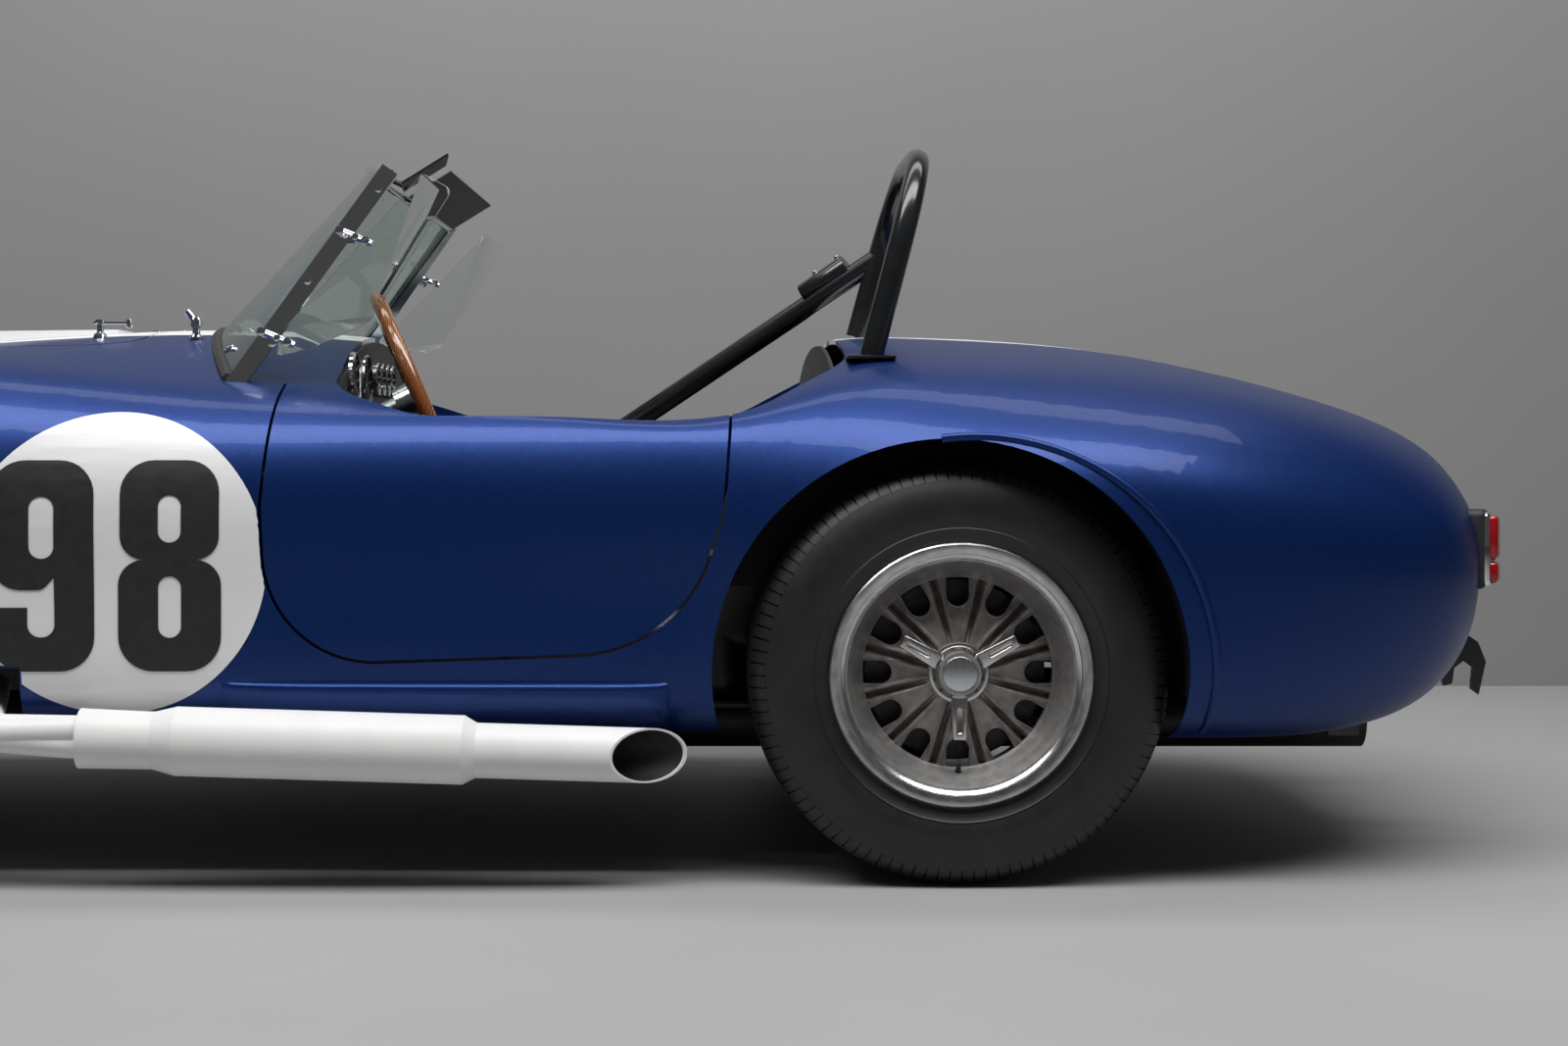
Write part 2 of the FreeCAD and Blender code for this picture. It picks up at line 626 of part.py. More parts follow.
for corner, end, side in corners:
    rim_width = f"{end}_rim_width"
    tyre_width = f"{end}_tyre_width"
    centre_x = front_axle if end == "front" else rear_axle
    centre_y = f"{side} * {end}_wheel_side"
    turned = FreeCAD.Rotation(Vec(0, 0, 1), 0 if side > 0 else 180)

    tyre = revolved_body("tyre_" + corner, tyre_profile(tyre_width, rim_width))
    rim = revolved_body("rim_" + corner, rim_profile(rim_width))
    wheel_window(rim)
    face = f"{rim_width} / 2 - rim_dish"
    hub = revolved_body("hub_" + corner, [
        (f"{face} - 34.3", "0"), (f"{face} - 34.3", "56"), (f"{face} - 44", "56"),
        (f"{face} - 44", "disc_radius"), (f"{face} - 44 - disc_thickness", "disc_radius"),
        (f"{face} - 44 - disc_thickness", "0"),
    ])
    spinner = revolved_body("spinner_" + corner, [
        (f"{face} + 18.3", "0"), (f"{face} + 18.3", "34"), (f"{face} + 44", "31"), (f"{face} + 44", "0"),
    ])
    for node in (tyre, rim, hub, spinner):
        node.Placement.Rotation = turned
        bind_place(node, centre_x, centre_y, "tyre_radius")
        keep(node)

# ---------------------------------------------------------------------------------------------
# Windscreen, wind wings, visors
# ---------------------------------------------------------------------------------------------
base_side = Vec(x_rear + 1186, 598, 797)
base_centre = Vec(x_rear + 1284, 0, 903)
top_side = Vec(x_rear + 924, 560, 1146)
top_centre = Vec(x_rear + 1010, 0, 1195)


def screen_curve(side, centre, drop=0.0):
    curve = Part.BSplineCurve()
    lift = Vec(0, 0, drop)
    curve.interpolate([side - lift, centre - lift, Vec(side.x, -side.y, side.z) - lift])
    return curve.toShape()


def along(start, end, share):
    return start + (end - start) * share


glass_low = screen_curve(along(base_side, top_side, 0.03), along(base_centre, top_centre, 0.03))
glass_high = screen_curve(along(base_side, top_side, 0.985), along(base_centre, top_centre, 0.985))
glass = Part.makeRuledSurface(glass_low, glass_high).extrude(Vec(size("glass_thickness"), 0, 0))
glass.translate(Vec(-size("glass_thickness") / 2, 0, 0))
feature("windscreen_glass", glass)


def bar_along(edge, radius):
    start = edge.valueAt(edge.FirstParameter)
    ring = Part.Wire([Part.Circle(start, edge.tangentAt(edge.FirstParameter), radius).toShape()])
    return Part.Wire([edge]).makePipeShell([ring], True, True)


def screen_post(side):
    low = Vec(base_side.x, side * base_side.y, base_side.z - 14)
    high = Vec(top_side.x, side * top_side.y, top_side.z + 8)
    axis = (high - low).normalize()
    fore = Vec(0, 1, 0).cross(axis).normalize()
    width = axis.cross(fore)
    corners = [low + fore * a * 15 + width * b * 7 for a, b in ((-1, -1), (1, -1), (1, 1), (-1, 1))]
    face = Part.Face(Part.makePolygon(corners + corners[:1]))
    return face.extrude(high - low)


frame_parts = [bar_along(screen_curve(top_side, top_centre), 9), bar_along(screen_curve(base_side, base_centre), 8)]
frame_parts += [screen_post(1), screen_post(-1)]
frame = frame_parts[0].multiFuse(frame_parts[1:])
clearance = Part.makeRuledSurface(glass_low, glass_high).extrude(Vec(size("glass_thickness") + 2 * seat, 0, 0))
clearance.translate(Vec(-size("glass_thickness") / 2 - seat, 0, 0))
frame = frame.cut(clearance).cut(body_form(-seat))
feature("windscreen_frame", max(frame.Solids, key=lambda solid: solid.Volume))

wing_corners = [
    (x_rear + 1110, 843, 6), (x_rear + 1050, 856, 0), (x_rear + 950, 898, 40), (x_rear + 808, 1112, 12),
    (x_rear + 858, 1140, 6), (x_rear + 1104, 880, 0),
]
wing = prism(side_wire(wing_corners, 0), Vec(0, 5, 0))
wing.rotate(Vec(x_rear + 1010, 0, 0), Vec(0, 0, 1), -12)
wing.translate(Vec(0, 606, 0))
wing = wing.cut(frame)
feature("wind_wings", Part.makeCompound([wing, mirror_y(wing)]))

visor_corner = Vec(x_rear + 913, 480, 1138)
visor_span = Vec(43, -420, 26)
visor_chord = Vec(-79, 0, 49)
visor_points = [visor_corner, visor_corner + visor_span, visor_corner + visor_span + visor_chord,
                visor_corner + visor_chord, visor_corner]
visor = Part.Face(Part.makePolygon(visor_points)).extrude(visor_span.cross(visor_chord).normalize() * -4)
visor_stay = rod(visor_corner + visor_span * 0.55 + Vec(-8, 0, 2), Vec(x_rear + 995, 250, 1186), 5)
visor = visor.fuse(visor_stay).cut(bar_along(screen_curve(top_side, top_centre), 9 + seat))
visor = max(visor.Solids, key=lambda solid: solid.Volume)
feature("sun_visors", Part.makeCompound([visor, mirror_y(visor)]))

# ---------------------------------------------------------------------------------------------
# Cockpit
# ---------------------------------------------------------------------------------------------
dash = centred_box(x_rear + 1005, x_rear + 1021, -700, 700, 640, 1000).common(cavity)
dash = dash.cut(prism(door_wire, door_travel, gap).cut(body_form(door_depth + gap)))
dash = dash.cut(mirror_y(prism(door_wire, door_travel, gap).cut(body_form(door_depth + gap))))
dash = max(dash.Solids, key=lambda solid: solid.Volume)
column_axis = Vec(-0.92, -0.102, 0.39).normalize()
wheel_centre = Vec(x_rear + 898, size("steering_side"), 775)
column_start = wheel_centre - column_axis * 40
column_end = wheel_centre - column_axis * 560
dash = dash.cut(rod(column_start, column_end, 22 + seat))
feature("dashboard", dash)
feature("steering_column", rod(column_start - column_axis * seat, column_end, 22))

sideways = column_axis.cross(Vec(0, 0, 1)).normalize()
torus = Part.makeTorus(size("steering_radius"), 12, wheel_centre, column_axis)
hub_disc = rod(wheel_centre - column_axis * 40, wheel_centre, 34)
spokes = []
for turn in (30, 150, 270):
    outward = FreeCAD.Rotation(column_axis, turn).multVec(sideways)
    spoke = centred_box(20, size("steering_radius") - 4, -14, 14, -3, 3)
    spoke.Placement = FreeCAD.Placement(
        wheel_centre - column_axis * 8, FreeCAD.Rotation(outward, column_axis.cross(outward), column_axis, "XYZ"))
    spokes.append(spoke)
feature("steering_wheel", torus.multiFuse([hub_disc] + spokes))

seat_w = size("seat_width")


def seat_shape(y):
    cushion = centred_box(x_rear + 330, x_rear + 760, y - seat_w / 2, y + seat_w / 2, floor_z + seat, floor_z + 130)
    back = centred_box(0, 95, y - seat_w / 2, y + seat_w / 2, 0, 440)
    back.rotate(Vec(0, 0, 0), Vec(0, 1, 0), -14)
    back.translate(Vec(x_rear + 310, 0, floor_z + 70))
    sides = [centred_box(x_rear + 380, x_rear + 700, y + s * (seat_w / 2 - 25) - 25, y + s * (seat_w / 2 - 25) + 25,
                         floor_z + 100, floor_z + 190) for s in (1, -1)]
    return cushion.multiFuse([back] + sides).cut(house_clear)


seat_y = tunnel_w + 3 + seat_w / 2
feature("seats", Part.makeCompound([seat_shape(seat_y), seat_shape(-seat_y)]))

lever = rod(Vec(x_rear + 800, 20, tunnel_top + 2), Vec(x_rear + 760, 30, tunnel_top + 190), 8)
knob = Part.makeSphere(22, Vec(x_rear + 760, 30, tunnel_top + 200))
feature("gear_lever", lever.fuse(knob))

# ---------------------------------------------------------------------------------------------
# Roll bar
# ---------------------------------------------------------------------------------------------
bar_r = size("roll_tube_radius")
lean = Vec(-94, 0, size("hoop_height")) * (1 / Vec(-94, 0, size("hoop_height")).Length)
near_foot = Vec(x_rear + 127, 560, 833)
rise = size("hoop_height")
far_foot = Vec(near_foot.x - 10, near_foot.y - 2 * size("hoop_half_width"), 892)
near_top = near_foot + lean * rise
far_top = Vec(near_top.x, far_foot.y, near_top.z)
hoop = tube([near_foot, near_top, far_top, far_foot], bar_r, 150)
brace_top = far_foot + (far_top - far_foot) * 0.5
brace = rod(brace_top, Vec(x_rear + 1171, -300, floor_z + 50), bar_r)
roll_bar = hoop.fuse(brace).cut(body_form(-seat).cut(cockpit_cut))
feature("roll_bar", max(roll_bar.Solids, key=lambda solid: solid.Volume))

# ---------------------------------------------------------------------------------------------
# Side exhausts
# ---------------------------------------------------------------------------------------------
pipe_y = size("pipe_side")
muffler_r = size("muffler_radius")
tail_r = size("tailpipe_radius")
wall = size("pipe_wall")
tip_x = x_rear + 431
pipe_slope = math.atan2(26, 850)


def pipe_outline(inset):
    runs = [(950, tail_r + 4), (835, tail_r + 2), (800, muffler_r), (350, muffler_r), (330, tail_r), (0, tail_r)]
    points = [Vec(tip_x + along_pipe, 0, radius - inset) for along_pipe, radius in runs]
    start = Vec(points[0].x - inset, 0, 0)
    end = Vec(points[-1].x - inset, 0, 0)
    points = [Vec(start.x, 0, points[0].z)] + points[1:-1] + [Vec(end.x, 0, points[-1].z)]
    outline = [start] + points + [end, start]
    return Part.Face(Part.makePolygon(outline)).revolve(Vec(0, 0, 0), Vec(1, 0, 0), 360)


pipe = pipe_outline(0).cut(pipe_outline(wall))
tip_block = centred_box(-400, 0, -400, 400, -200, 200)
tip_block.rotate(Vec(0, 0, 0), Vec(0, 0, 1), -54.6)
tip_block.translate(Vec(tip_x + 60, 0, 0))
pipe = pipe.cut(tip_block)
pipe = max(pipe.Solids, key=lambda solid: solid.Volume)
pipe.rotate(Vec(tip_x, 0, 0), Vec(0, 1, 0), -math.degrees(pipe_slope))
pipe.translate(Vec(0, pipe_y, 210))
primaries = []
for number in range(4):
    start_x = x_front - 760 + number * 80
    port = Vec(start_x + 40, 600, 300)
    bend_one = Vec(start_x, pipe_y - 12 + 8 * (number % 2), 258 - 14 * (number % 2))
    merge = Vec(tip_x + 935, pipe_y + (number % 2 * 2 - 1) * 12, 240 + (number // 2 * 2 - 1) * 12)
    primaries.append(tube([port, bend_one, merge], 21, 40))
header = primaries[0].multiFuse(primaries[1:])
exhaust = pipe.fuse(header)
feature("side_exhausts", Part.makeCompound([exhaust, mirror_y(exhaust)]))

# ---------------------------------------------------------------------------------------------
# Lamps, brackets, filler
# ---------------------------------------------------------------------------------------------
lamp_r = size("lamp_radius")
lamp_x, lamp_y, lamp_z = lamp_spots[0]
bucket = Part.makeCylinder(lamp_r, 160, Vec(lamp_x - 58, lamp_y, lamp_z), Vec(1, 0, 0))
dome = Part.makeSphere(lamp_r * 2, Vec(lamp_x + 100 - lamp_r * 1.6, lamp_y, lamp_z))
lamp = bucket.common(dome)
feature("headlamps", Part.makeCompound([lamp, mirror_y(lamp)]))

tail_lamp = centred_box(-30, 0, -38, 38, -65, 65)
tail_lamp.rotate(Vec(0, 0, 0), Vec(0, 0, 1), -22)
tail_lamp.translate(Vec(x_rear - 918, 470, 520))
tail_lamp = tail_lamp.cut(body_form(-seat))
tail_lamp = max(tail_lamp.Solids, key=lambda solid: solid.Volume)
feature("tail_lamps", Part.makeCompound([tail_lamp, mirror_y(tail_lamp)]))

x_tail = x_rear - size("rear_overhang")
hook_outline = [
    (x_tail + 110, 338), (x_tail + 38, 362), (x_tail + 14, 346), (x_tail, 311), (x_tail + 13, 252),
    (x_tail + 27, 262), (x_tail + 24, 300), (x_tail + 40, 312), (x_tail + 56, 300), (x_tail + 60, 272),
    (x_tail + 75, 268), (x_tail + 85, 298), (x_tail + 110, 305), (x_tail + 225, 290), (x_tail + 225, 180),
    (x_tail + 280, 180), (x_tail + 280, 338),
]
hook_points = [Vec(x, bracket_y, z) for x, z in hook_outline]
hook = Part.Face(Part.makePolygon(hook_points + hook_points[:1])).extrude(Vec(0, 10, 0))
feature("rear_jack_brackets", Part.makeCompound([hook, mirror_y(hook)]))

x_nose = x_front + size("front_overhang")
rail_top = rail_z + math.sqrt(rail_r ** 2 - (rail_y - 205) ** 2) + seat
front_outline = [
    (x_nose, 382), (x_nose, 430), (x_nose - 18, 446), (x_nose - 316, 446), (x_nose - 316, rail_top),
    (x_nose - 290, rail_top), (x_nose - 270, 382),
]
front_points = [Vec(x, 195, z) for x, z in front_outline]
front_bracket = Part.Face(Part.makePolygon(front_points + front_points[:1])).extrude(Vec(0, 10, 0))
front_bracket = front_bracket.cut(Part.makeCylinder(10, 40, Vec(x_nose - 30, 180, 412), Vec(0, 1, 0)))
feature("front_jack_brackets", Part.makeCompound([front_bracket, mirror_y(front_bracket)]))

neck = Part.makeCylinder(filler_r, filler_top - 770, Vec(filler_x, filler_y, 770))
feature("fuel_filler", neck)
cap = Part.makeCylinder(filler_r + 6, 16, Vec(filler_x, filler_y, filler_top + seat))
feature("filler_cap", cap)

# ---------------------------------------------------------------------------------------------
# Check and export
# ---------------------------------------------------------------------------------------------
doc.recompute()
for item in doc.Objects:
    if {"Invalid", "Error"} & set(item.State):
        raise RuntimeError(f"{item.Label} failed: {item.State}")
faulty = [node.Label for node in nodes if node.Shape.isNull() or not node.Shape.isValid()]
if faulty:
    raise RuntimeError(f"no valid shape: {faulty}")

os.makedirs("parts", exist_ok=True)
for node in nodes:
    node.Shape.exportStep(f"parts/{node.Label}.step")
    print(f"{node.Label:24s} solids {len(node.Shape.Solids):2d}  volume {node.Shape.Volume / 1e6:9.3f} litres")
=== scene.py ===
import json
import math

import bpy
from mathutils import Matrix, Vector

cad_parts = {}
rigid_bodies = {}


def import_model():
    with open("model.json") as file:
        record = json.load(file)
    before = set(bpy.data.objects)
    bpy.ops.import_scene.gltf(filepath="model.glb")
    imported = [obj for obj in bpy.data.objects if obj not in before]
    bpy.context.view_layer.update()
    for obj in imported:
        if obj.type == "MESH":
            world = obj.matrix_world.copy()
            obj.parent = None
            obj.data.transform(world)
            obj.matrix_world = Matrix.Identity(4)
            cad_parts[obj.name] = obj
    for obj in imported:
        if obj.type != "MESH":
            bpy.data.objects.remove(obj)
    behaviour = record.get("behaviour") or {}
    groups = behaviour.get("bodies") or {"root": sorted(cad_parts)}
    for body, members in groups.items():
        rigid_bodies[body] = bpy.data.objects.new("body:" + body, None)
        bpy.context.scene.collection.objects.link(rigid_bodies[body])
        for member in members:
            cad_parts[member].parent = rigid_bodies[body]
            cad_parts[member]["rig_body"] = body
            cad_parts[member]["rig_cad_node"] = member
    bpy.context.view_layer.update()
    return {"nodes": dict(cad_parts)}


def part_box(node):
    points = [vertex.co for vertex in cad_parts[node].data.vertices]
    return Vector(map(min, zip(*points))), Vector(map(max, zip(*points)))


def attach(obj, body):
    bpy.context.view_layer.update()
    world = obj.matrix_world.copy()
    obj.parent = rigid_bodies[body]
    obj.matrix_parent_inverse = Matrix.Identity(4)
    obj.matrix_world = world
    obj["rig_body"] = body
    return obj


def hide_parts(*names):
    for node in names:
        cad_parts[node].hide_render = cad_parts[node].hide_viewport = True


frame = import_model()
nodes = frame["nodes"]
print("frame loaded")


# Small helpers

def release():
    if bpy.context.object and bpy.context.object.mode != "OBJECT":
        bpy.ops.object.mode_set(mode="OBJECT")
    bpy.ops.object.select_all(action="DESELECT")


def pick(piece):
    release()
    piece.select_set(True)
    bpy.context.view_layer.objects.active = piece


def settle(piece):  # place, turn and scale go into the mesh
    pick(piece)
    bpy.ops.object.transform_apply(location=True, rotation=True, scale=True)


def applyModifier(piece, kind, **values):
    pick(piece)
    modifier = piece.modifiers.new(kind.title(), kind)
    for key, value in values.items():
        setattr(modifier, key, value)
    bpy.ops.object.modifier_apply(modifier=modifier.name)


def editAll(piece):
    pick(piece)
    bpy.ops.object.mode_set(mode="EDIT")
    bpy.ops.mesh.select_all(action="SELECT")


def selectFaces(piece, wanted):  # leaves edit mode on, with the wanted faces selected
    pick(piece)
    bpy.ops.object.mode_set(mode="EDIT")
    bpy.ops.mesh.select_mode(type="FACE")
    bpy.ops.mesh.select_all(action="DESELECT")
    bpy.ops.object.mode_set(mode="OBJECT")
    for face in piece.data.polygons:
        face.select = wanted(face)
    bpy.ops.object.mode_set(mode="EDIT")


def cleanUp(piece, distance=0.00002):
    editAll(piece)
    bpy.ops.mesh.remove_doubles(threshold=distance)
    bpy.ops.mesh.delete_loose(use_verts=True, use_edges=True, use_faces=False)
    bpy.ops.mesh.select_all(action="SELECT")
    bpy.ops.mesh.normals_make_consistent(inside=False)
    release()


def joinPieces(name, pieces):
    release()
    for piece in pieces:
        piece.select_set(True)
    bpy.context.view_layer.objects.active = pieces[0]
    if len(pieces) > 1:
        bpy.ops.object.join()
    pieces[0].name = name
    return pieces[0]


def copyPiece(piece, name):
    twin = piece.copy()
    twin.data = piece.data.copy()
    twin.name = name
    bpy.context.scene.collection.objects.link(twin)
    return twin


def dress(piece, material, body, angle=32):
    settle(piece)
    bpy.ops.object.shade_smooth_by_angle(angle=math.radians(angle))
    if material is not None:
        piece.data.materials.clear()
        piece.data.materials.append(material)
    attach(piece, body)
    return piece


def addBlock(name, low, high, bevel=0.002, segments=2):
    release()
    low, high = Vector(low), Vector(high)
    bpy.ops.mesh.primitive_cube_add(size=1, location=(low + high) / 2)
    block = bpy.context.object
    block.name = name
    block.scale = high - low
    settle(block)
    if bevel:
        applyModifier(block, "BEVEL", width=bevel, segments=segments)
    return block


def addRod(name, start, end, radius, sides=24, bevel=0.0):
    release()
    start, end = Vector(start), Vector(end)
    bpy.ops.mesh.primitive_cylinder_add(vertices=sides, radius=radius, depth=(end - start).length)
    rod = bpy.context.object
    rod.name = name
    rod.rotation_euler = (end - start).to_track_quat("Z", "Y").to_euler()
    rod.location = (start + end) / 2
    settle(rod)
    if bevel:
        applyModifier(rod, "BEVEL", width=bevel, segments=2, limit_method="ANGLE")
    return rod


def swing(start, end):
    return Vector(start).rotation_difference(Vector(end)).to_matrix().to_4x4()


def addLathe(name, outline, steps=72, shift=(0, 0, 0), axis=(0, 1, 0)):
    # outline: closed ring of (radius, along) pairs, turned about the axis through shift
    release()
    bpy.ops.mesh.primitive_circle_add(vertices=len(outline), radius=1, fill_type="NOTHING")
    turned = bpy.context.object
    turned.name = name
    for vertex, (radius, along) in zip(turned.data.vertices, outline):
        vertex.co = (radius, along, 0)
    editAll(turned)
    bpy.ops.mesh.spin(steps=steps, angle=2 * math.pi, center=(0, 0, 0), axis=(0, 1, 0))
    cleanUp(turned)
    turned.data.transform(Matrix.Translation(shift) @ swing((0, 1, 0), axis))
    return turned


def addTube(name, points, radius, cyclic=False, smooth=True, sides=8):
    release()
    bpy.ops.curve.primitive_bezier_curve_add()
    tube = bpy.context.object
    tube.name = name
    spline = tube.data.splines[0]
    spline.bezier_points.add(len(points) - 2)
    for bezierPoint, point in zip(spline.bezier_points, points):
        bezierPoint.co = point
        bezierPoint.handle_left_type = bezierPoint.handle_right_type = "AUTO" if smooth else "VECTOR"
    spline.use_cyclic_u = cyclic
    tube.data.bevel_depth = radius
    tube.data.bevel_resolution = sides // 4
    tube.data.resolution_u = 10 if smooth else 1
    tube.data.use_fill_caps = not cyclic
    bpy.ops.object.convert(target="MESH")
    return bpy.context.object


def roundedRing(corners, steps=8):
    # corners: (across, up, radius), returned as a closed ring of plane points with round corners
    ring = []
    for index, (across, up, radius) in enumerate(corners):
        here = Vector((across, up))
        if radius == 0:
            ring.append(here)
            continue
        before = (Vector(corners[index - 1][:2]) - here).normalized()
        after = (Vector(corners[(index + 1) % len(corners)][:2]) - here).normalized()
        half = before.angle(after) / 2
        middle = here + (before + after).normalized() * (radius / math.sin(half))
        start = here + before * (radius / math.tan(half)) - middle
        end = here + after * (radius / math.tan(half)) - middle
        sweep = start.angle_signed(end)
        for step in range(steps + 1):
            turn = -sweep * step / steps
            ring.append(middle + Vector((start.x * math.cos(turn) - start.y * math.sin(turn),
                                         start.x * math.sin(turn) + start.y * math.cos(turn))))
    return ring


# Materials

def newMaterial(name, color, metallic=0.0, roughness=0.5, coat=0.0, coatRoughness=0.03, transmission=0.0, ior=1.5):
    material = bpy.data.materials.new(name)
    material.use_nodes = True
    shader = material.node_tree.nodes["Principled BSDF"]
    shader.inputs["Base Color"].default_value = (*color, 1)
    shader.inputs["Metallic"].default_value = metallic
    shader.inputs["Roughness"].default_value = roughness
    shader.inputs["Coat Weight"].default_value = coat
    shader.inputs["Coat Roughness"].default_value = coatRoughness
    shader.inputs["Transmission Weight"].default_value = transmission
    shader.inputs["IOR"].default_value = ior
    return material


def addNode(material, kind, inputs=None, **values):
    node = material.node_tree.nodes.new(kind)
    for key, value in values.items():
        setattr(node, key, value)
    for key, value in (inputs or {}).items():
        if hasattr(value, "node"):
            material.node_tree.links.new(value, node.inputs[key])
        else:
            node.inputs[key].default_value = value
    return node


def place(material, scale=(1, 1, 1)):
    coordinates = addNode(material, "ShaderNodeTexCoord")
    return addNode(material, "ShaderNodeMapping", {"Vector": coordinates.outputs["Object"], "Scale": scale}).outputs[0]


def noise(material, scale, detail=3.0, stretch=(1, 1, 1)):
    values = {"Vector": place(material, stretch), "Scale": scale, "Detail": detail}
    return addNode(material, "ShaderNodeTexNoise", values).outputs[0]


def ramp(material, value, low, high, start=0.35, end=0.65):
    node = addNode(material, "ShaderNodeValToRGB", {"Fac": value})
    node.color_ramp.elements[0].position, node.color_ramp.elements[0].color = start, (*low, 1)
    node.color_ramp.elements[1].position, node.color_ramp.elements[1].color = end, (*high, 1)
    return node.outputs[0]


def math2(material, operation, first, second=0.0):
    return addNode(material, "ShaderNodeMath", {0: first, 1: second}, operation=operation).outputs[0]


def feed(material, socket, value):
    material.node_tree.links.new(value, material.node_tree.nodes["Principled BSDF"].inputs[socket])


def bump(material, height, strength=0.3, distance=0.001):
    node = addNode(material, "ShaderNodeBump", {"Height": height, "Strength": strength, "Distance": distance})
    feed(material, "Normal", node.outputs[0])


def wander(material, value, low, high):
    rough = addNode(material, "ShaderNodeMapRange", {"Value": value, "To Min": low, "To Max": high})
    feed(material, "Roughness", rough.outputs[0])


def spread(value, amount):
    return tuple(max(0, part * (1 - amount)) for part in value), tuple(part * (1 + amount) for part in value)


def mottled(name, color, amount=0.15, scale=30, wear=(0.35, 0.5), grain=None, **values):
    # a finish whose colour and roughness wander a little, with a fine grain where it has one
    material = newMaterial(name, color, **values)
    low, high = spread(color, amount)
    feed(material, "Base Color", ramp(material, noise(material, scale), low, high))
    wander(material, noise(material, scale * 2.3), *wear)
    if grain:
        bump(material, noise(material, grain[0], 4), grain[1], grain[2])
    return material


stripe = {"centre": 0.135, "half": 0.1, "white": (0.78, 0.79, 0.8)}
paintBlue = {"dark": (0.0002, 0.016, 0.1), "light": (0.0006, 0.032, 0.19), "metallic": 0.6, "coat": 0.15}


def bluePaint():
    material = newMaterial("bluePaint", paintBlue["light"], metallic=paintBlue["metallic"], roughness=0.4,
                           coat=paintBlue["coat"], coatRoughness=0.02)
    flake = addNode(material, "ShaderNodeTexVoronoi", {"Vector": place(material), "Scale": 900.0})
    fleck = addNode(material, "ShaderNodeSeparateColor", {"Color": flake.outputs["Color"]}).outputs[0]
    blue = ramp(material, fleck, paintBlue["dark"], paintBlue["light"], 0.0, 1.0)
    across = addNode(material, "ShaderNodeSeparateXYZ", {"Vector": place(material)}).outputs["Y"]
    side = math2(material, "ABSOLUTE", across)
    away = math2(material, "ABSOLUTE", math2(material, "SUBTRACT", side, stripe["centre"]))
    mask = math2(material, "LESS_THAN", away, stripe["half"])
    mixed = addNode(material, "ShaderNodeMix", {"Factor": mask, "A": blue}, data_type="RGBA")
    material.node_tree.links.new(blue, mixed.inputs[6])
    mixed.inputs[7].default_value = (*stripe["white"], 1)
    feed(material, "Base Color", mixed.outputs[2])
    rest = math2(material, "SUBTRACT", 1.0, mask)
    feed(material, "Metallic", math2(material, "MULTIPLY", rest, paintBlue["metallic"]))
    return material


def woodGrain():
    material = newMaterial("rimWood", (0.3, 0.09, 0.02), roughness=0.22, coat=1.0)
    rings = addNode(material, "ShaderNodeTexWave", {"Vector": place(material, (1, 0.25, 1)), "Scale": 90.0,
                                                   "Distortion": 5.0, "Detail": 3.0})
    dark, light = (0.12, 0.028, 0.006), (0.42, 0.15, 0.04)
    feed(material, "Base Color", ramp(material, rings.outputs["Fac"], dark, light, 0.1, 0.9))
    return material


def leatherHide():
    material = newMaterial("blackLeather", (0.012, 0.012, 0.012), roughness=0.45)
    cells = addNode(material, "ShaderNodeTexVoronoi", {"Vector": place(material), "Scale": 420.0})
    bump(material, cells.outputs["Distance"], 0.35, 0.0006)
    wander(material, noise(material, 25), 0.38, 0.6)
    feed(material, "Base Color", ramp(material, noise(material, 12), (0.009, 0.009, 0.009), (0.02, 0.019, 0.018)))
    return material


def brushed(name, color, scale, wear):
    material = newMaterial(name, color, metallic=1.0)
    streaks = noise(material, 40, 5, scale)
    wander(material, streaks, *wear)
    low, high = spread(color, 0.2)
    feed(material, "Base Color", ramp(material, streaks, low, high, 0.3, 0.7))
    return material


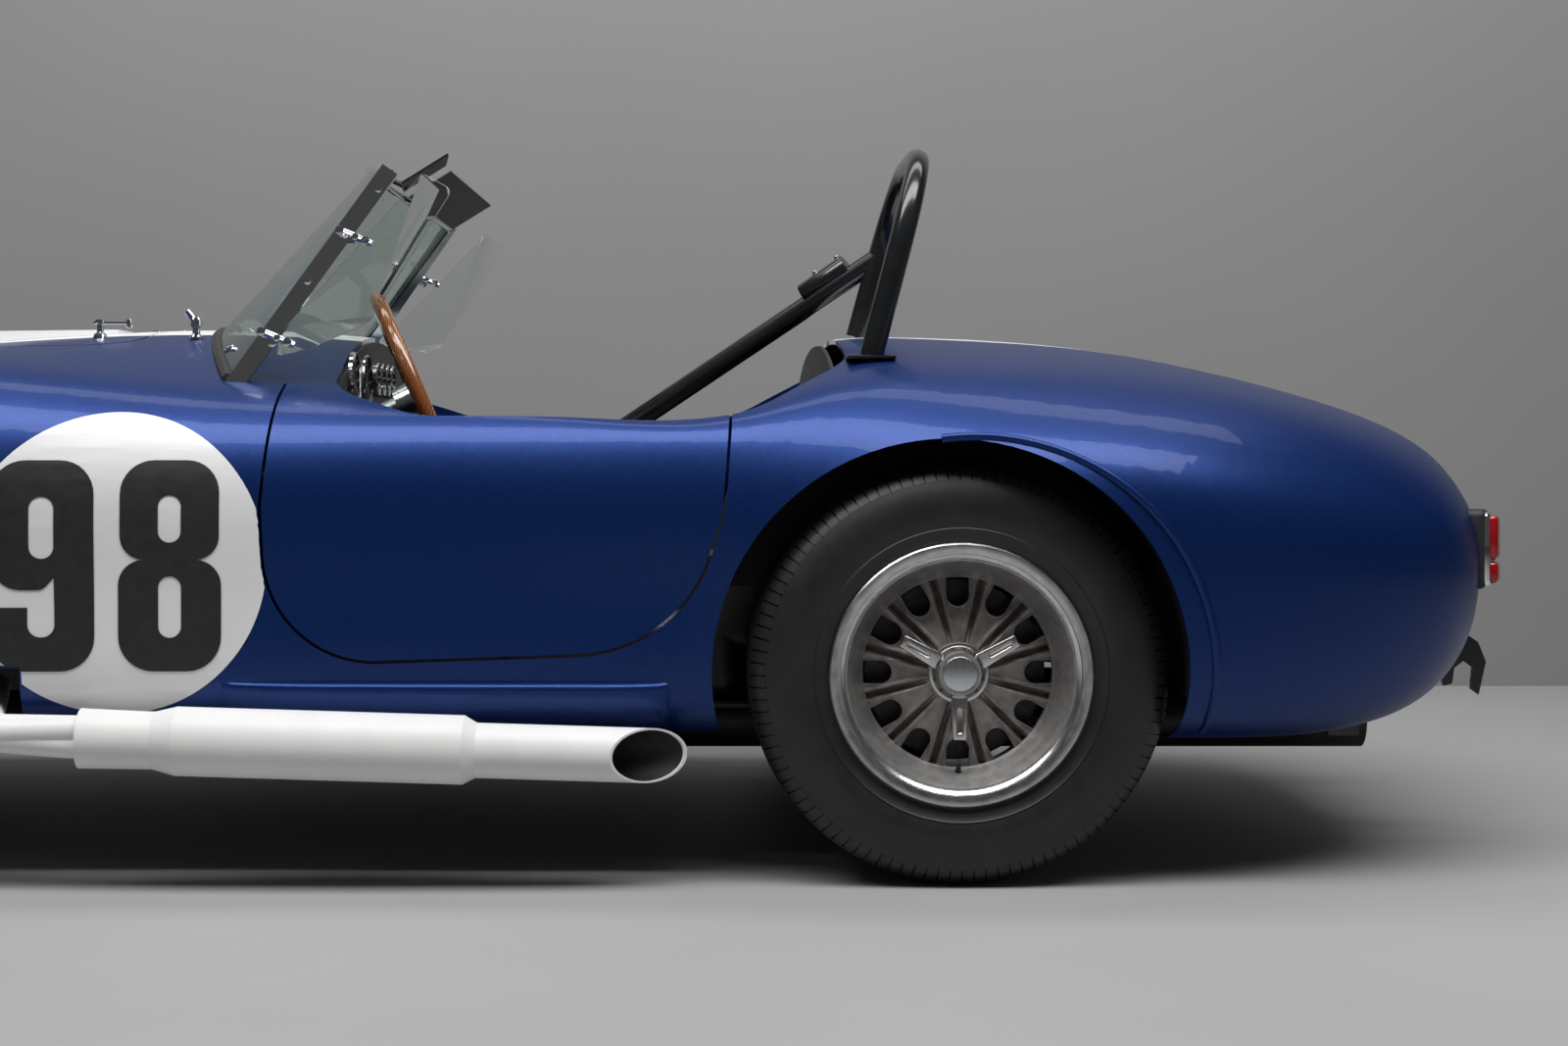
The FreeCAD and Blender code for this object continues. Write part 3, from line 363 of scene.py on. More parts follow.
finish = {
    "blue": bluePaint(),
    "white": mottled("whitePaint", (0.8, 0.8, 0.81), 0.015, 6, (0.22, 0.3), coat=0.5),
    "black": mottled("blackPaint", (0.009, 0.01, 0.011), 0.3, 9, (0.16, 0.26), coat=0.3),
    "chassisBlack": mottled("chassisBlack", (0.012, 0.012, 0.012), 0.3, 14, (0.4, 0.6), grain=(300, 0.2, 0.0004)),
    "ceramic": mottled("whiteCeramic", (0.8, 0.8, 0.79), 0.02, 18, (0.42, 0.55), grain=(500, 0.12, 0.0004)),
    "chrome": mottled("chrome", (0.78, 0.79, 0.81), 0.04, 12, (0.05, 0.11), metallic=1.0),
    "alloy": brushed("polishedAlloy", (0.62, 0.61, 0.6), (1, 14, 1), (0.16, 0.32)),
    "castGrey": mottled("castAlloy", (0.27, 0.245, 0.235), 0.22, 45, (0.42, 0.6),
                        grain=(420, 0.55, 0.0007), metallic=0.7),
    "dishGrey": mottled("turnedAlloy", (0.38, 0.37, 0.36), 0.12, 60, (0.36, 0.46),
                        grain=(700, 0.2, 0.0003), metallic=0.8),
    "steel": mottled("bareSteel", (0.28, 0.28, 0.28), 0.2, 40, (0.3, 0.45), metallic=1.0),
    "engine": mottled("engineCast", (0.06, 0.06, 0.062), 0.3, 20, (0.5, 0.7), grain=(150, 0.5, 0.001), metallic=0.5),
    "rubber": mottled("tyreRubber", (0.0115, 0.0115, 0.0125), 0.18, 22, (0.36, 0.5), grain=(650, 0.16, 0.0004)),
    "gasket": mottled("gasketRubber", (0.016, 0.016, 0.017), 0.2, 40, (0.5, 0.65)),
    "plastic": mottled("blackTrim", (0.011, 0.011, 0.011), 0.2, 35, (0.4, 0.55), grain=(600, 0.3, 0.0004)),
    "glass": newMaterial("tintedGlass", (0.72, 0.84, 0.79), roughness=0.0, transmission=1.0, ior=1.5),
    "acrylic": newMaterial("clearAcrylic", (0.93, 0.95, 0.95), roughness=0.0, transmission=1.0, ior=1.3),
    # near-white rough finish for the wing edges: a painted highlight for the light the edges catch
    "acrylicEdgeHighlight": newMaterial("acrylicEdgeHighlight", (0.85, 0.88, 0.88), roughness=0.35, transmission=0.25),
    "leather": leatherHide(),
    "wood": woodGrain(),
    "lampGlass": newMaterial("lampGlass", (0.95, 0.95, 0.95), roughness=0.04, transmission=0.85, ior=1.45),
    "red": mottled("redLens", (0.32, 0.004, 0.006), 0.1, 40, (0.08, 0.14), coat=0.6),
    # near-black lining for the inside of the exhaust tips, making them darker inside
    "tipDarkLining": mottled("pipeDarkLining", (0.009, 0.008, 0.008), 0.3, 50, (0.6, 0.8)),
    "decalBlack": mottled("decalBlack", (0.014, 0.0145, 0.016), 0.2, 40, (0.45, 0.6)),
    "spoke": mottled("spokeAlloy", (0.5, 0.5, 0.51), 0.08, 30, (0.2, 0.3), metallic=1.0),
    "disc": mottled("brakeDisc", (0.05, 0.05, 0.052), 0.25, 60, (0.3, 0.5), metallic=0.8),
}
nodeFinish = {
    "blue": "body_shell bonnet boot_lid door_left door_right",
    "white": "bonnet_scoop",
    "black": "roll_bar rear_jack_brackets front_jack_brackets",
    "chassisBlack": "chassis floor_pan firewall rear_bulkhead boot_floor front_suspension rear_suspension"
                    " knuckle_left knuckle_right front_wheel_houses rear_wheel_houses radiator",
    "plastic": "tunnel dashboard sun_visors",
    "ceramic": "side_exhausts",
    "chrome": "windscreen_frame fuel_filler filler_cap headlamps tail_lamps gear_lever",
    "steel": "steering_column",
    "engine": "engine_block",
    "glass": "windscreen_glass",
    "acrylic": "wind_wings",
    "wood": "steering_wheel",
    "leather": "seats",
    "disc": "hub_front_left hub_front_right hub_rear_left hub_rear_right",
    "alloy": "rim_front_left rim_front_right rim_rear_left rim_rear_right spinner_front_left spinner_front_right"
             " spinner_rear_left spinner_rear_right",
    "rubber": "tyre_front_left tyre_front_right tyre_rear_left tyre_rear_right",
}
for finishName, names in nodeFinish.items():
    for name in names.split():
        nodes[name].data.materials.clear()
        nodes[name].data.materials.append(finish[finishName])
print("finishes done")


# Wheels: made once for each end about the origin, outward along +Y, then copied to the corners

wheel = {"tyreRadius": 0.336, "ribs": 12, "dish": 0.065, "hubRadius": 0.046, "webRadius": 0.152,
         "treadBlocks": 104, "windowHalf": 0.0185, "windowInner": 0.124, "earReach": 0.105, "capRadius": 0.028}
widths = {"front": (0.215, 0.190), "rear": (0.250, 0.241)}


def tyreMesh(name, width, rimWidth):
    half = width / 2
    beadY = rimWidth / 2
    wall = [(0.194, beadY - 0.012), (0.2, beadY - 0.011), (0.208, beadY - 0.0085), (0.212, beadY - 0.007),
            (0.222, half - 0.008), (0.2295, half - 0.0055), (0.231, half - 0.0042), (0.2325, half - 0.0055),
            (0.243, half - 0.002), (0.256, half), (0.27, half - 0.0005), (0.284, half - 0.003),
            (0.297, half - 0.0075), (0.307, half - 0.0125), (0.3075, half - 0.0135), (0.316, half - 0.0185),
            (0.3245, half - 0.0275), (0.3295, half - 0.036), (0.332, half - 0.044)]
    tread = []
    for groove in (half - 0.06, half - 0.098):
        radius = 0.3345
        tread += [(radius, groove + 0.0035), (radius - 0.006, groove + 0.002), (radius - 0.006, groove - 0.002),
                  (radius, groove - 0.0035)]
    side = wall + tread
    profile = side + [(0.3355, 0.0)] + [(radius, -along) for radius, along in reversed(side)]
    count = len(profile)
    release()
    bpy.ops.mesh.primitive_grid_add(x_subdivisions=count - 1, y_subdivisions=2, size=1)
    tyre = bpy.context.object
    tyre.name = name
    pitch = 2 * math.pi / wheel["treadBlocks"]
    turns = (0.0, 0.16 * pitch, pitch)
    for index, vertex in enumerate(tyre.data.vertices):
        radius, along = profile[index % count]
        turn = turns[index // count]
        vertex.co = (radius * math.sin(turn), along, radius * math.cos(turn))
    selectFaces(tyre, lambda face: face.area < 0.00012 and Vector((face.center.x, 0, face.center.z)).length > 0.3095
                and abs(face.center.y) > half - 0.043 and face.center.x < 0.1 * pitch)
    bpy.ops.mesh.extrude_region_shrink_fatten(TRANSFORM_OT_shrink_fatten={"value": -0.0035})
    release()
    bpy.ops.object.empty_add(rotation=(0, pitch, 0))
    turner = bpy.context.object
    applyModifier(tyre, "ARRAY", count=wheel["treadBlocks"], use_relative_offset=False, use_object_offset=True,
                  offset_object=turner, use_merge_vertices=True, merge_threshold=0.0002)
    bpy.data.objects.remove(turner)
    cleanUp(tyre)
    applyModifier(tyre, "SOLIDIFY", thickness=0.008, offset=-1)
    return tyre


def rimMesh(name, rimWidth):
    half = rimWidth / 2
    face = half - wheel["dish"]
    outer = [(0.1965, half - 0.0005), (0.2, half), (0.2055, half), (0.208, half - 0.0025), (0.2078, half - 0.008),
             (0.2045, half - 0.011), (0.1925, half - 0.0125), (0.19, half - 0.03), (0.176, half - 0.045),
             (0.174, -half + 0.05), (0.19, -half + 0.03), (0.192, -half + 0.012), (0.206, -half + 0.009),
             (0.206, -half + 0.003), (0.195, -half + 0.003), (0.185, -half + 0.02), (0.168, -half + 0.05),
             (0.166, face - 0.03), (0.156, face - 0.012), (0.1505, face - 0.006), (0.1515, face + 0.002),
             (0.157, face + 0.008), (0.1695, half - 0.03), (0.1795, half - 0.012), (0.1815, half - 0.0115),
             (0.1835, half - 0.008), (0.1895, half - 0.0045), (0.1905, half - 0.0015)]
    rim = addLathe(name, outer, 96)
    rim.data.materials.append(finish["alloy"])
    rim.data.materials.append(finish["dishGrey"])
    for polygon in rim.data.polygons:
        radius = Vector((polygon.center.x, 0, polygon.center.z)).length
        polygon.material_index = 1 if radius < 0.181 else 0
    return rim


def spiderMesh(name, face):
    # one of twelve petals: a raised panel with a rib down each side and a valley between petals
    pitch = 2 * math.pi / wheel["ribs"]
    rings, columns = 22, 28
    release()
    bpy.ops.mesh.primitive_grid_add(x_subdivisions=columns, y_subdivisions=rings, size=1)
    petal = bpy.context.object
    petal.name = name
    for vertex in petal.data.vertices:
        share, out = vertex.co.x, vertex.co.y + 0.5  # across the petal and out from the hub
        radius = wheel["hubRadius"] + (wheel["webRadius"] - wheel["hubRadius"]) * out
        turn = share * pitch
        across = abs(radius * math.sin(turn))
        edge = radius * math.tan(pitch / 2)
        ribPlace = edge - 0.0078 - 0.002 * out
        rib = math.exp(-((across - ribPlace) / 0.0032) ** 2) * 0.0035 * min(1, 0.25 + 1.4 * out)
        valley = 0.013 * min(1, 0.15 + 2.4 * out) / (1 + math.exp((edge - across - 0.0034 - 0.0016 * out) / 0.0007))
        height = face + 0.017 - 0.019 * out ** 1.2 + rib - valley
        vertex.co = (radius * math.sin(turn), height, radius * math.cos(turn))
    applyModifier(petal, "SOLIDIFY", thickness=0.009, offset=-1 if petal.data.polygons[0].normal.y > 0 else 1)
    release()
    inner, top = wheel["windowInner"], wheel["webRadius"] + 0.01
    bpy.ops.mesh.primitive_cylinder_add(vertices=24, radius=wheel["windowHalf"], depth=0.12, location=(0, face, inner),
                                        rotation=(math.pi / 2, 0, 0))
    cutter = bpy.context.object
    settle(cutter)
    for vertex in cutter.data.vertices:
        if vertex.co.z > inner + 0.0001:  # the upper half runs straight out past the web
            vertex.co.z = top
            vertex.co.x = math.copysign(wheel["windowHalf"], vertex.co.x) if abs(vertex.co.x) > 0.0001 else 0
    applyModifier(petal, "BOOLEAN", operation="DIFFERENCE", object=cutter, solver="EXACT")
    bpy.data.objects.remove(cutter)
    half = wheel["windowHalf"] + 0.0012
    path = [Vector((-half, 0, 0.15))] + [
        Vector((-half * math.cos(turn), 0, inner - half * math.sin(turn))) for turn in
        [math.pi * step / 10 for step in range(11)]] + [Vector((half, 0, 0.15))]
    for point in path:
        out = (point.length - wheel["hubRadius"]) / (wheel["webRadius"] - wheel["hubRadius"])
        point.y = face + 0.017 - 0.019 * max(out, 0) ** 1.2
    petal = joinPieces(name, [petal, addTube(name + "Bead", path, 0.0014, sides=8)])
    release()
    bpy.ops.object.empty_add(rotation=(0, pitch, 0))
    turner = bpy.context.object
    applyModifier(petal, "ARRAY", count=wheel["ribs"], use_relative_offset=False, use_object_offset=True,
                  offset_object=turner)
    bpy.data.objects.remove(turner)
    return petal


def spinnerMesh(name, face):
    front = face + 0.044
    boss = addLathe(name, [(0.0, face - 0.034), (0.046, face - 0.034), (0.0495, face + 0.016), (0.0495, face + 0.02),
                           (0.047, face + 0.023), (0.0435, face + 0.0235), (0.0425, face + 0.027),
                           (0.036, front - 0.006), (0.0335, front - 0.003), (0.0305, front - 0.003),
                           (0.0298, front - 0.0065), (0.0, front - 0.0065)], 64)
    ears = []
    for turn in (-90, 30, 150):
        ear = addBlock("ear", (0.026, face + 0.018, -0.0125), (wheel["earReach"], face + 0.031, 0.0125), 0)
        for vertex in ear.data.vertices:
            if vertex.co.x > 0.1:
                vertex.co.z *= 0.82
                vertex.co.y += 0.006
            elif vertex.co.z != 0:
                vertex.co.z *= 1.12
        applyModifier(ear, "BEVEL", width=0.0025, segments=3)
        slotCut = addBlock("earSlot", (0.054, face + 0.0265, -0.0048), (0.096, face + 0.05, 0.0048), 0.004, 4)
        for vertex in slotCut.data.vertices:
            vertex.co.y += vertex.co.x * 0.076  # the slot's floor rises with the ear
        applyModifier(ear, "BOOLEAN", operation="DIFFERENCE", object=slotCut, solver="EXACT")
        bpy.data.objects.remove(slotCut)
        ear.rotation_euler = (0, math.radians(-turn), 0)
        settle(ear)
        ears.append(ear)
    return joinPieces(name, [boss] + ears)


def capMesh(name, face):
    front = face + 0.0445
    radius = wheel["capRadius"]
    return addLathe(name, [(0.0, front - 0.01), (radius, front - 0.01), (radius, front - 0.0035),
                           (radius - 0.0012, front - 0.0018), (radius - 0.006, front - 0.0008), (0.0, front)], 64)


def valveMesh(name, face):
    stem = addRod(name, (0, face + 0.006, -0.163), (0, face + 0.022, -0.140), 0.0042, 12, 0.0006)
    boot = addLathe("valveBoot", [(0, 0), (0.0095, 0), (0.009, 0.005), (0.0055, 0.011), (0, 0.011)], 16,
                    (0, face + 0.004, -0.1655), (0, 0.6, 0.8))
    return joinPieces(name, [stem, boot])


def brushedCap():
    material = newMaterial("brushedCap", (0.62, 0.64, 0.67), metallic=1.0)
    wander(material, noise(material, 300, 2, (1, 1, 0.05)), 0.2, 0.34)
    return material


capFinish = brushedCap()
for end, (tyreWidth, rimWidth) in widths.items():
    face = rimWidth / 2 - wheel["dish"]
    patterns = [
        (tyreMesh("tyre", tyreWidth, rimWidth), "tyre", finish["rubber"], "tyre", ["tyre"], 28),
        (rimMesh("rim", rimWidth), "rim", None, "wheel_alloy", ["rim"], 30),
        (spiderMesh("spider", face), "spider", finish["castGrey"], "cast", [], 35),
        (spinnerMesh("spinner", face), "spinner", finish["alloy"], "wheel_alloy", ["spinner"], 30),
        (capMesh("cap", face), "cap", capFinish, "wheel_alloy", [], 25),
        (valveMesh("valve", face), "valve", finish["gasket"], "black_plastic", [], 40),
    ]
    for side, sideName in ((1, "left"), (-1, "right")):
        corner = end + "_" + sideName
        centre = sum(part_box("tyre_" + corner), Vector()) / 2
        for pattern, kind, material, slotName, replaced, angle in patterns:
            piece = copyPiece(pattern, f"{kind}_{corner}_look")
            piece.data.transform(Matrix.Translation(centre) @ Matrix.Rotation(0 if side > 0 else math.pi, 4, "Z"))
            dress(piece, material, "wheel_" + corner, angle)
            for nodeKind in replaced:
                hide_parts(f"{nodeKind}_{corner}")
    for pattern in patterns:
        bpy.data.objects.remove(pattern[0])
print("wheels done")


# Number discs: thin sheets laid on the body side

disc = {"x": 0.334, "z": 0.510, "radius": 0.240, "digitShift": 0.1006, "digitOffset": 0.013,
        "digitTop": 0.6735, "lift": 0.001}
digitRings = {
    "8": [[(-0.078, 0, 0.052), (0.078, 0, 0.052), (0.078, 0.1565, 0.038), (0.037, 0.1575, 0), (0.081, 0.1585, 0.04),
           (0.081, 0.334, 0.055), (-0.081, 0.334, 0.055), (-0.081, 0.1585, 0.04), (-0.037, 0.1575, 0),
           (-0.078, 0.1565, 0.038)],
          [(-0.018, 0.0555, 0.0178), (0.018, 0.0555, 0.0178), (0.018, 0.130, 0.0178), (-0.018, 0.130, 0.0178)],
          [(-0.018, 0.1835, 0.0178), (0.018, 0.1835, 0.0178), (0.018, 0.2805, 0.0178), (-0.018, 0.2805, 0.0178)]],
    "9": [[(-0.082, 0, 0.055), (0.082, 0, 0.055), (0.083, 0.334, 0.055), (-0.082, 0.334, 0.055), (-0.082, 0.2326, 0),
           (-0.022, 0.2326, 0), (-0.022, 0.2796, 0.0205), (0.021, 0.2796, 0.0205), (0.0195, 0.1856, 0),
           (0.002, 0.205, 0.022), (-0.082, 0.205, 0.05)],
          [(-0.0195, 0.0575, 0.0192), (0.0195, 0.0575, 0.0192), (0.0195, 0.1555, 0.0192), (-0.0195, 0.1555, 0.0192)]],
}


def flatSheet(name, rings, side, centreX, topZ):
    # a filled outline with its holes, cut into small squares so that it can follow the body
    release()
    bpy.ops.curve.primitive_bezier_curve_add()
    sheet = bpy.context.object
    sheet.name = name
    sheet.data.dimensions = "2D"
    sheet.data.fill_mode = "BOTH"
    sheet.data.splines.clear()
    for ring in rings:
        spline = sheet.data.splines.new("POLY")
        spline.points.add(len(ring) - 1)
        for splinePoint, point in zip(spline.points, ring):
            splinePoint.co = (-side * point[0], -point[1], 0, 1)
        spline.use_cyclic_u = True
    bpy.ops.object.convert(target="MESH")
    sheet = bpy.context.object
    sheet.data.transform(Matrix.Translation((centreX, side * 0.95, topZ)) @ Matrix.Rotation(math.pi / 2, 4, "X"))
    sheet.matrix_world = Matrix.Identity(4)
    spacing = 0.012
    for axis in (0, 2):
        low = min(vertex.co[axis] for vertex in sheet.data.vertices)
        high = max(vertex.co[axis] for vertex in sheet.data.vertices)
        count = int((high - low) / spacing) + 1
        for cut in range(1, count):
            point = Vector()
            point[axis] = low + (high - low) * cut / count
            normal = Vector()
            normal[axis] = 1
            editAll(sheet)
            bpy.ops.mesh.bisect(plane_co=point, plane_no=normal)
    release()
    return sheet


def surfaceSide(x, z):
    for nudge in (0, 0.0004, -0.0004, 0.0009):  # a ray down a mesh edge can miss
        start = Vector((x + nudge, 1.2, z + nudge))
        hit, point, normal, index = nodes["body_shell"].ray_cast(start, Vector((0, -1, 0)))
        if hit and point.y > 0.5:
            return point
    return None


def nearestSide(x, z):  # past the door's front edge a point slides forward to it
    for step in range(12):
        point = surfaceSide(x + 0.003 * step, z)
        if point:
            return point
    return None


def layOnBody(sheet, side, lift):  # each point goes to the body side under it; what hangs past the body goes
    points = [nearestSide(vertex.co.x, vertex.co.z) for vertex in sheet.data.vertices]
    for vertex, point in zip(sheet.data.vertices, points):
        vertex.co = (point.x, side * (point.y + lift), point.z) if point else (vertex.co.x, 0, vertex.co.z)
    selectFaces(sheet, lambda face: any(abs(sheet.data.vertices[index].co.y) < 0.1 for index in face.vertices))
    bpy.ops.mesh.delete(type="FACE")
    cleanUp(sheet, 0.00001)
    if side * sum(polygon.normal.y * polygon.area for polygon in sheet.data.polygons) < 0:
        editAll(sheet)
        bpy.ops.mesh.flip_normals()
        release()
    return sheet


discRing = [(disc["radius"] * math.cos(math.radians(turn)), disc["radius"] * math.sin(math.radians(turn)))
            for turn in range(0, 360, 3)]
for side, sideName in ((1, "left"), (-1, "right")):
    roundel = flatSheet("numberDisc_" + sideName, [discRing], side, disc["x"], disc["z"])
    dress(layOnBody(roundel, side, disc["lift"]), finish["white"], "car", 60)
    for digit, shift in (("9", -1), ("8", 1)):
        rings = [roundedRing(ring) for ring in digitRings[digit]]
        centreX = disc["x"] + disc["digitOffset"] - side * shift * disc["digitShift"]
        number = flatSheet(f"digit{digit}_{sideName}", rings, side, centreX, disc["digitTop"])
        dress(layOnBody(number, side, 2.2 * disc["lift"]), finish["decalBlack"], "car", 60)
print("number discs done")


# Windscreen and wings: the wing edges carry a painted highlight

# the second finish goes on the edge faces; for the wind wings it is a painted highlight
def edgedCopy(nodeName, pieceName, faceFinish, edgeHighlightFinish, isEdge):
    piece = copyPiece(nodes[nodeName], pieceName)
    piece.parent = None
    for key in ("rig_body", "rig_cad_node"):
        if key in piece:
            del piece[key]
    cleanUp(piece, 0.00001)
    dress(piece, None, "car", 30)
    piece.data.materials.clear()
    piece.data.materials.append(faceFinish)
    piece.data.materials.append(edgeHighlightFinish)
    for polygon in piece.data.polygons:
        polygon.material_index = 1 if isEdge(polygon) else 0
    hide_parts(nodeName)
    return piece


# the wings' edge faces get a painted highlight, the near-white edge finish
edgedCopy("wind_wings", "windWings", finish["acrylic"], finish["acrylicEdgeHighlight"],
          lambda polygon: abs(polygon.normal.y) < 0.6)

postFoot, postHead = Vector((0.184, 0.598, 0.797)), Vector((-0.078, 0.560, 1.146))
postAxis = (postHead - postFoot).normalized()
clampShares = {"lower": 0.24, "upper": 0.72}


def mirrored(piece, name):
    twin = copyPiece(piece, name)
    twin.data.transform(Matrix.Scale(-1, 4, (0, 1, 0)))
    cleanUp(twin)
    return twin


def bothSides(name, piece, material, body, angle=32):
    settle(piece)
    twin = mirrored(piece, name + "_right")
    piece.name = name + "_left"
    dress(piece, material, body, angle)
    dress(twin, material, body, angle)


def clampMesh(share):
    at = postFoot + (postHead - postFoot) * share + Vector((0, 0.008, 0))
    back = Vector((-0.92, 0.0, -0.39)).normalized()
    fore = Vector((0.6, 0, 0.8))
    parts = []
    for shift in (-0.0065, 0.0065):
        middle = at + Vector((0, shift + 0.012, 0))
        parts.append(addRod("strap", middle - back * 0.012, middle + back * 0.05, 0.006, 4, 0.001))
    for along, radius in ((-0.006, 0.0075), (0.022, 0.006), (0.040, 0.0075)):
        spot = at + back * along
        parts.append(addRod("screw", spot, spot + Vector((0, 0.028, 0)), radius, 16, 0.0015))
    knobAt = at - fore * 0.02
    parts.append(addRod("knob", knobAt + Vector((0, 0.01, 0)), knobAt + Vector((0, 0.024, 0)), 0.008, 16, 0.002))
    return joinPieces("clamp", parts)


for clampName, share in clampShares.items():
    bothSides("wingClamp_" + clampName, clampMesh(share), finish["chrome"], "car")
screws = []
for share in (0.49, 0.93):
    at = postFoot + (postHead - postFoot) * share
    screws.append(addRod("screw", at + Vector((0, 0.006, 0)), at + Vector((0, 0.014, 0)), 0.0065, 16, 0.002))
bothSides("postScrews", joinPieces("postScrews", screws), finish["chrome"], "car")
bothSides("postPlate", addBlock("postPlate", (0.163, 0.578, 0.7815), (0.240, 0.634, 0.7895), 0.002, 2),
          finish["chrome"], "car")

# rubber seal between the glass and the scuttle
sealShape = {"half": 0.59, "span": 0.598, "x": 0.283, "inset": 0.003, "sweep": 0.097, "z": 0.902,
             "drop": 0.102, "radius": 0.013}
sealPoints = []
for step in range(-12, 13):
    across = step / 12 * sealShape["half"]
    share = (across / sealShape["span"]) ** 2
    sealPoints.append((sealShape["x"] - sealShape["sweep"] * share - sealShape["inset"], across,
                       sealShape["z"] - sealShape["drop"] * share))
seal = addTube("screenSeal", sealPoints, sealShape["radius"], sides=12)
dress(seal, finish["gasket"], "car")
print("windscreen done")


# Rolled edges of the wheel openings, in body colour

arch = {"rear": (-1.022, 0.372), "front": (1.284, 0.387), "bead": 0.0075, "out": 0.003}
for end in ("rear", "front"):
    centreX, radius = arch[end]
    reach = radius + arch["out"]
    points = []
    for turn in range(-14, 195, 4):
        angle = math.radians(turn)
        spot = surfaceSide(centreX + reach * math.cos(angle), wheel["tyreRadius"] + reach * math.sin(angle))
        if spot is not None:
            points.append(Vector((spot.x, spot.y - 0.001, spot.z)))
    lip = addTube("archLip_" + end, points, arch["bead"], sides=12)
    bothSides("archLip_" + end, lip, finish["blue"], "car", 60)
print("arches done")


# Tail lamps: gasket, bright bezel and a red lens in two fields

tail = {"x": -1.920, "y": 0.470, "z": 0.520, "turn": 22}


def turnedTail(piece):
    centre = Matrix.Translation((tail["x"], tail["y"], tail["z"]))
    piece.data.transform(centre @ Matrix.Rotation(math.radians(-tail["turn"]), 4, "Z"))
    return piece


tailShapes = {
    "tailGasket": ((-0.012, -0.040, -0.067), (0.03, 0.040, 0.067), 0.012, "gasket", "black_plastic"),
    "tailBezel": ((-0.019, -0.036, -0.063), (0.01, 0.036, 0.063), 0.011, "chrome", "chrome"),
    "tailLensUpper": ((-0.030, -0.031, -0.018), (-0.01, 0.031, 0.058), 0.009, "red", "red_lens"),
    "tailLensLower": ((-0.030, -0.031, -0.058), (-0.01, 0.031, -0.020), 0.009, "red", "red_lens"),
}
for name, (low, high, bevel, finishName, slotName) in tailShapes.items():
    bothSides(name, turnedTail(addBlock(name, low, high, bevel, 4)), finish[finishName], "car", 40)
for sideName in ("left", "right"):
    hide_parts("tail_lamps")
print("tail lamps done")


# Headlamps: bright rim and a domed glass in front of a reflector

head = {"x": 1.739, "y": 0.535, "z": 0.596}
bowl = addLathe("headReflector", [(0.0, -0.03), (0.05, -0.022), (0.078, 0.0), (0.086, 0.028), (0.09, 0.028),
                                  (0.09, -0.05), (0.0, -0.05)], 64, (head["x"] + 0.02, head["y"], head["z"]), (1, 0, 0))
bothSides("headReflector", bowl, finish["chrome"], "car")
headRim = addLathe("headRim", [(0.082, 0.012), (0.0945, 0.0), (0.0945, 0.022), (0.091, 0.030), (0.085, 0.034),
                               (0.081, 0.028)], 64, (head["x"] + 0.03, head["y"], head["z"]), (1, 0, 0))
bothSides("headRim", headRim, finish["chrome"], "car")
dome = [(0.084 * math.sin(math.radians(turn)), 0.036 * math.cos(math.radians(turn))) for turn in range(0, 91, 10)]
glassDome = addLathe("headGlass", dome + [(radius * 0.96, along - 0.003) for radius, along in reversed(dome)], 48,
                     (head["x"] + 0.056, head["y"], head["z"]), (1, 0, 0))
bothSides("headGlass", glassDome, finish["lampGlass"], "car", 60)
for sideName in ("left", "right"):
    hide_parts("headlamps")
print("headlamps done")


# Dark lining inside the exhaust tips

pipe = {"tipX": -0.571, "y": 0.810, "z": 0.210, "slope": math.atan2(26, 850), "cut": 54.6, "cutAt": 0.0625,
        "bore": 0.0395, "length": 0.5}
release()
bpy.ops.mesh.primitive_cylinder_add(vertices=48, radius=pipe["bore"], depth=pipe["length"], end_fill_type="NOTHING",
                                    location=(pipe["length"] / 2, 0, 0), rotation=(0, math.pi / 2, 0))
lining = bpy.context.object
lining.name = "tipLining"
settle(lining)
cutTurn = math.radians(90 - pipe["cut"])
editAll(lining)
cutNormal = Vector((math.sin(cutTurn), -math.cos(cutTurn), 0))
bpy.ops.mesh.bisect(plane_co=(pipe["cutAt"], 0, 0), plane_no=cutNormal)
release()
selectFaces(lining, lambda face: (face.center - Vector((pipe["cutAt"], 0, 0))).dot(cutNormal) < 0)
bpy.ops.mesh.delete(type="FACE")
release()
applyModifier(lining, "SOLIDIFY", thickness=0.001, offset=0)
tipPlace = Matrix.Translation((pipe["tipX"], pipe["y"], pipe["z"]))
lining.data.transform(tipPlace @ Matrix.Rotation(-pipe["slope"], 4, "Y"))
bothSides("tipLining", lining, finish["tipDarkLining"], "car", 60)
print("exhaust tips done")


# Sill blisters above the exhausts

blister = {"rear": -0.545, "front": 0.17, "low": 0.2665, "high": 0.322, "rise": 0.017}
release()
bpy.ops.mesh.primitive_grid_add(x_subdivisions=72, y_subdivisions=20, size=1)
sill = bpy.context.object
sill.name = "sillBlister"
places = []
for vertex in [vertex.co.copy() for vertex in sill.data.vertices]:
    along, up = vertex.x * 2, vertex.y * 2
    x = (blister["rear"] + blister["front"]) / 2 + along * (blister["front"] - blister["rear"]) / 2
    z = (blister["low"] + blister["high"]) / 2 + up * (blister["high"] - blister["low"]) / 2
    swell = max(0, 1 - abs(along) ** (12 if along < 0 else 3)) ** 0.5 * max(0, 1 - max(0, up) ** 4) ** 0.5
    point = surfaceSide(x, z) or surfaceSide(x, z + 0.012)
    base = point.y if point else 0.7
    places.append((x, base - 0.0015 + blister["rise"] * swell, z))
for vertex, spot in zip(sill.data.vertices, places):
    vertex.co = spot
editAll(sill)
bpy.ops.mesh.normals_make_consistent(inside=False)
release()
if sum(polygon.normal.y for polygon in sill.data.polygons) < 0:
    sill.data.flip_normals()
bothSides("sillBlister", sill, finish["blue"], "car", 60)
print("sills done")


# Steering wheel: wooden rim on three drilled alloy spokes

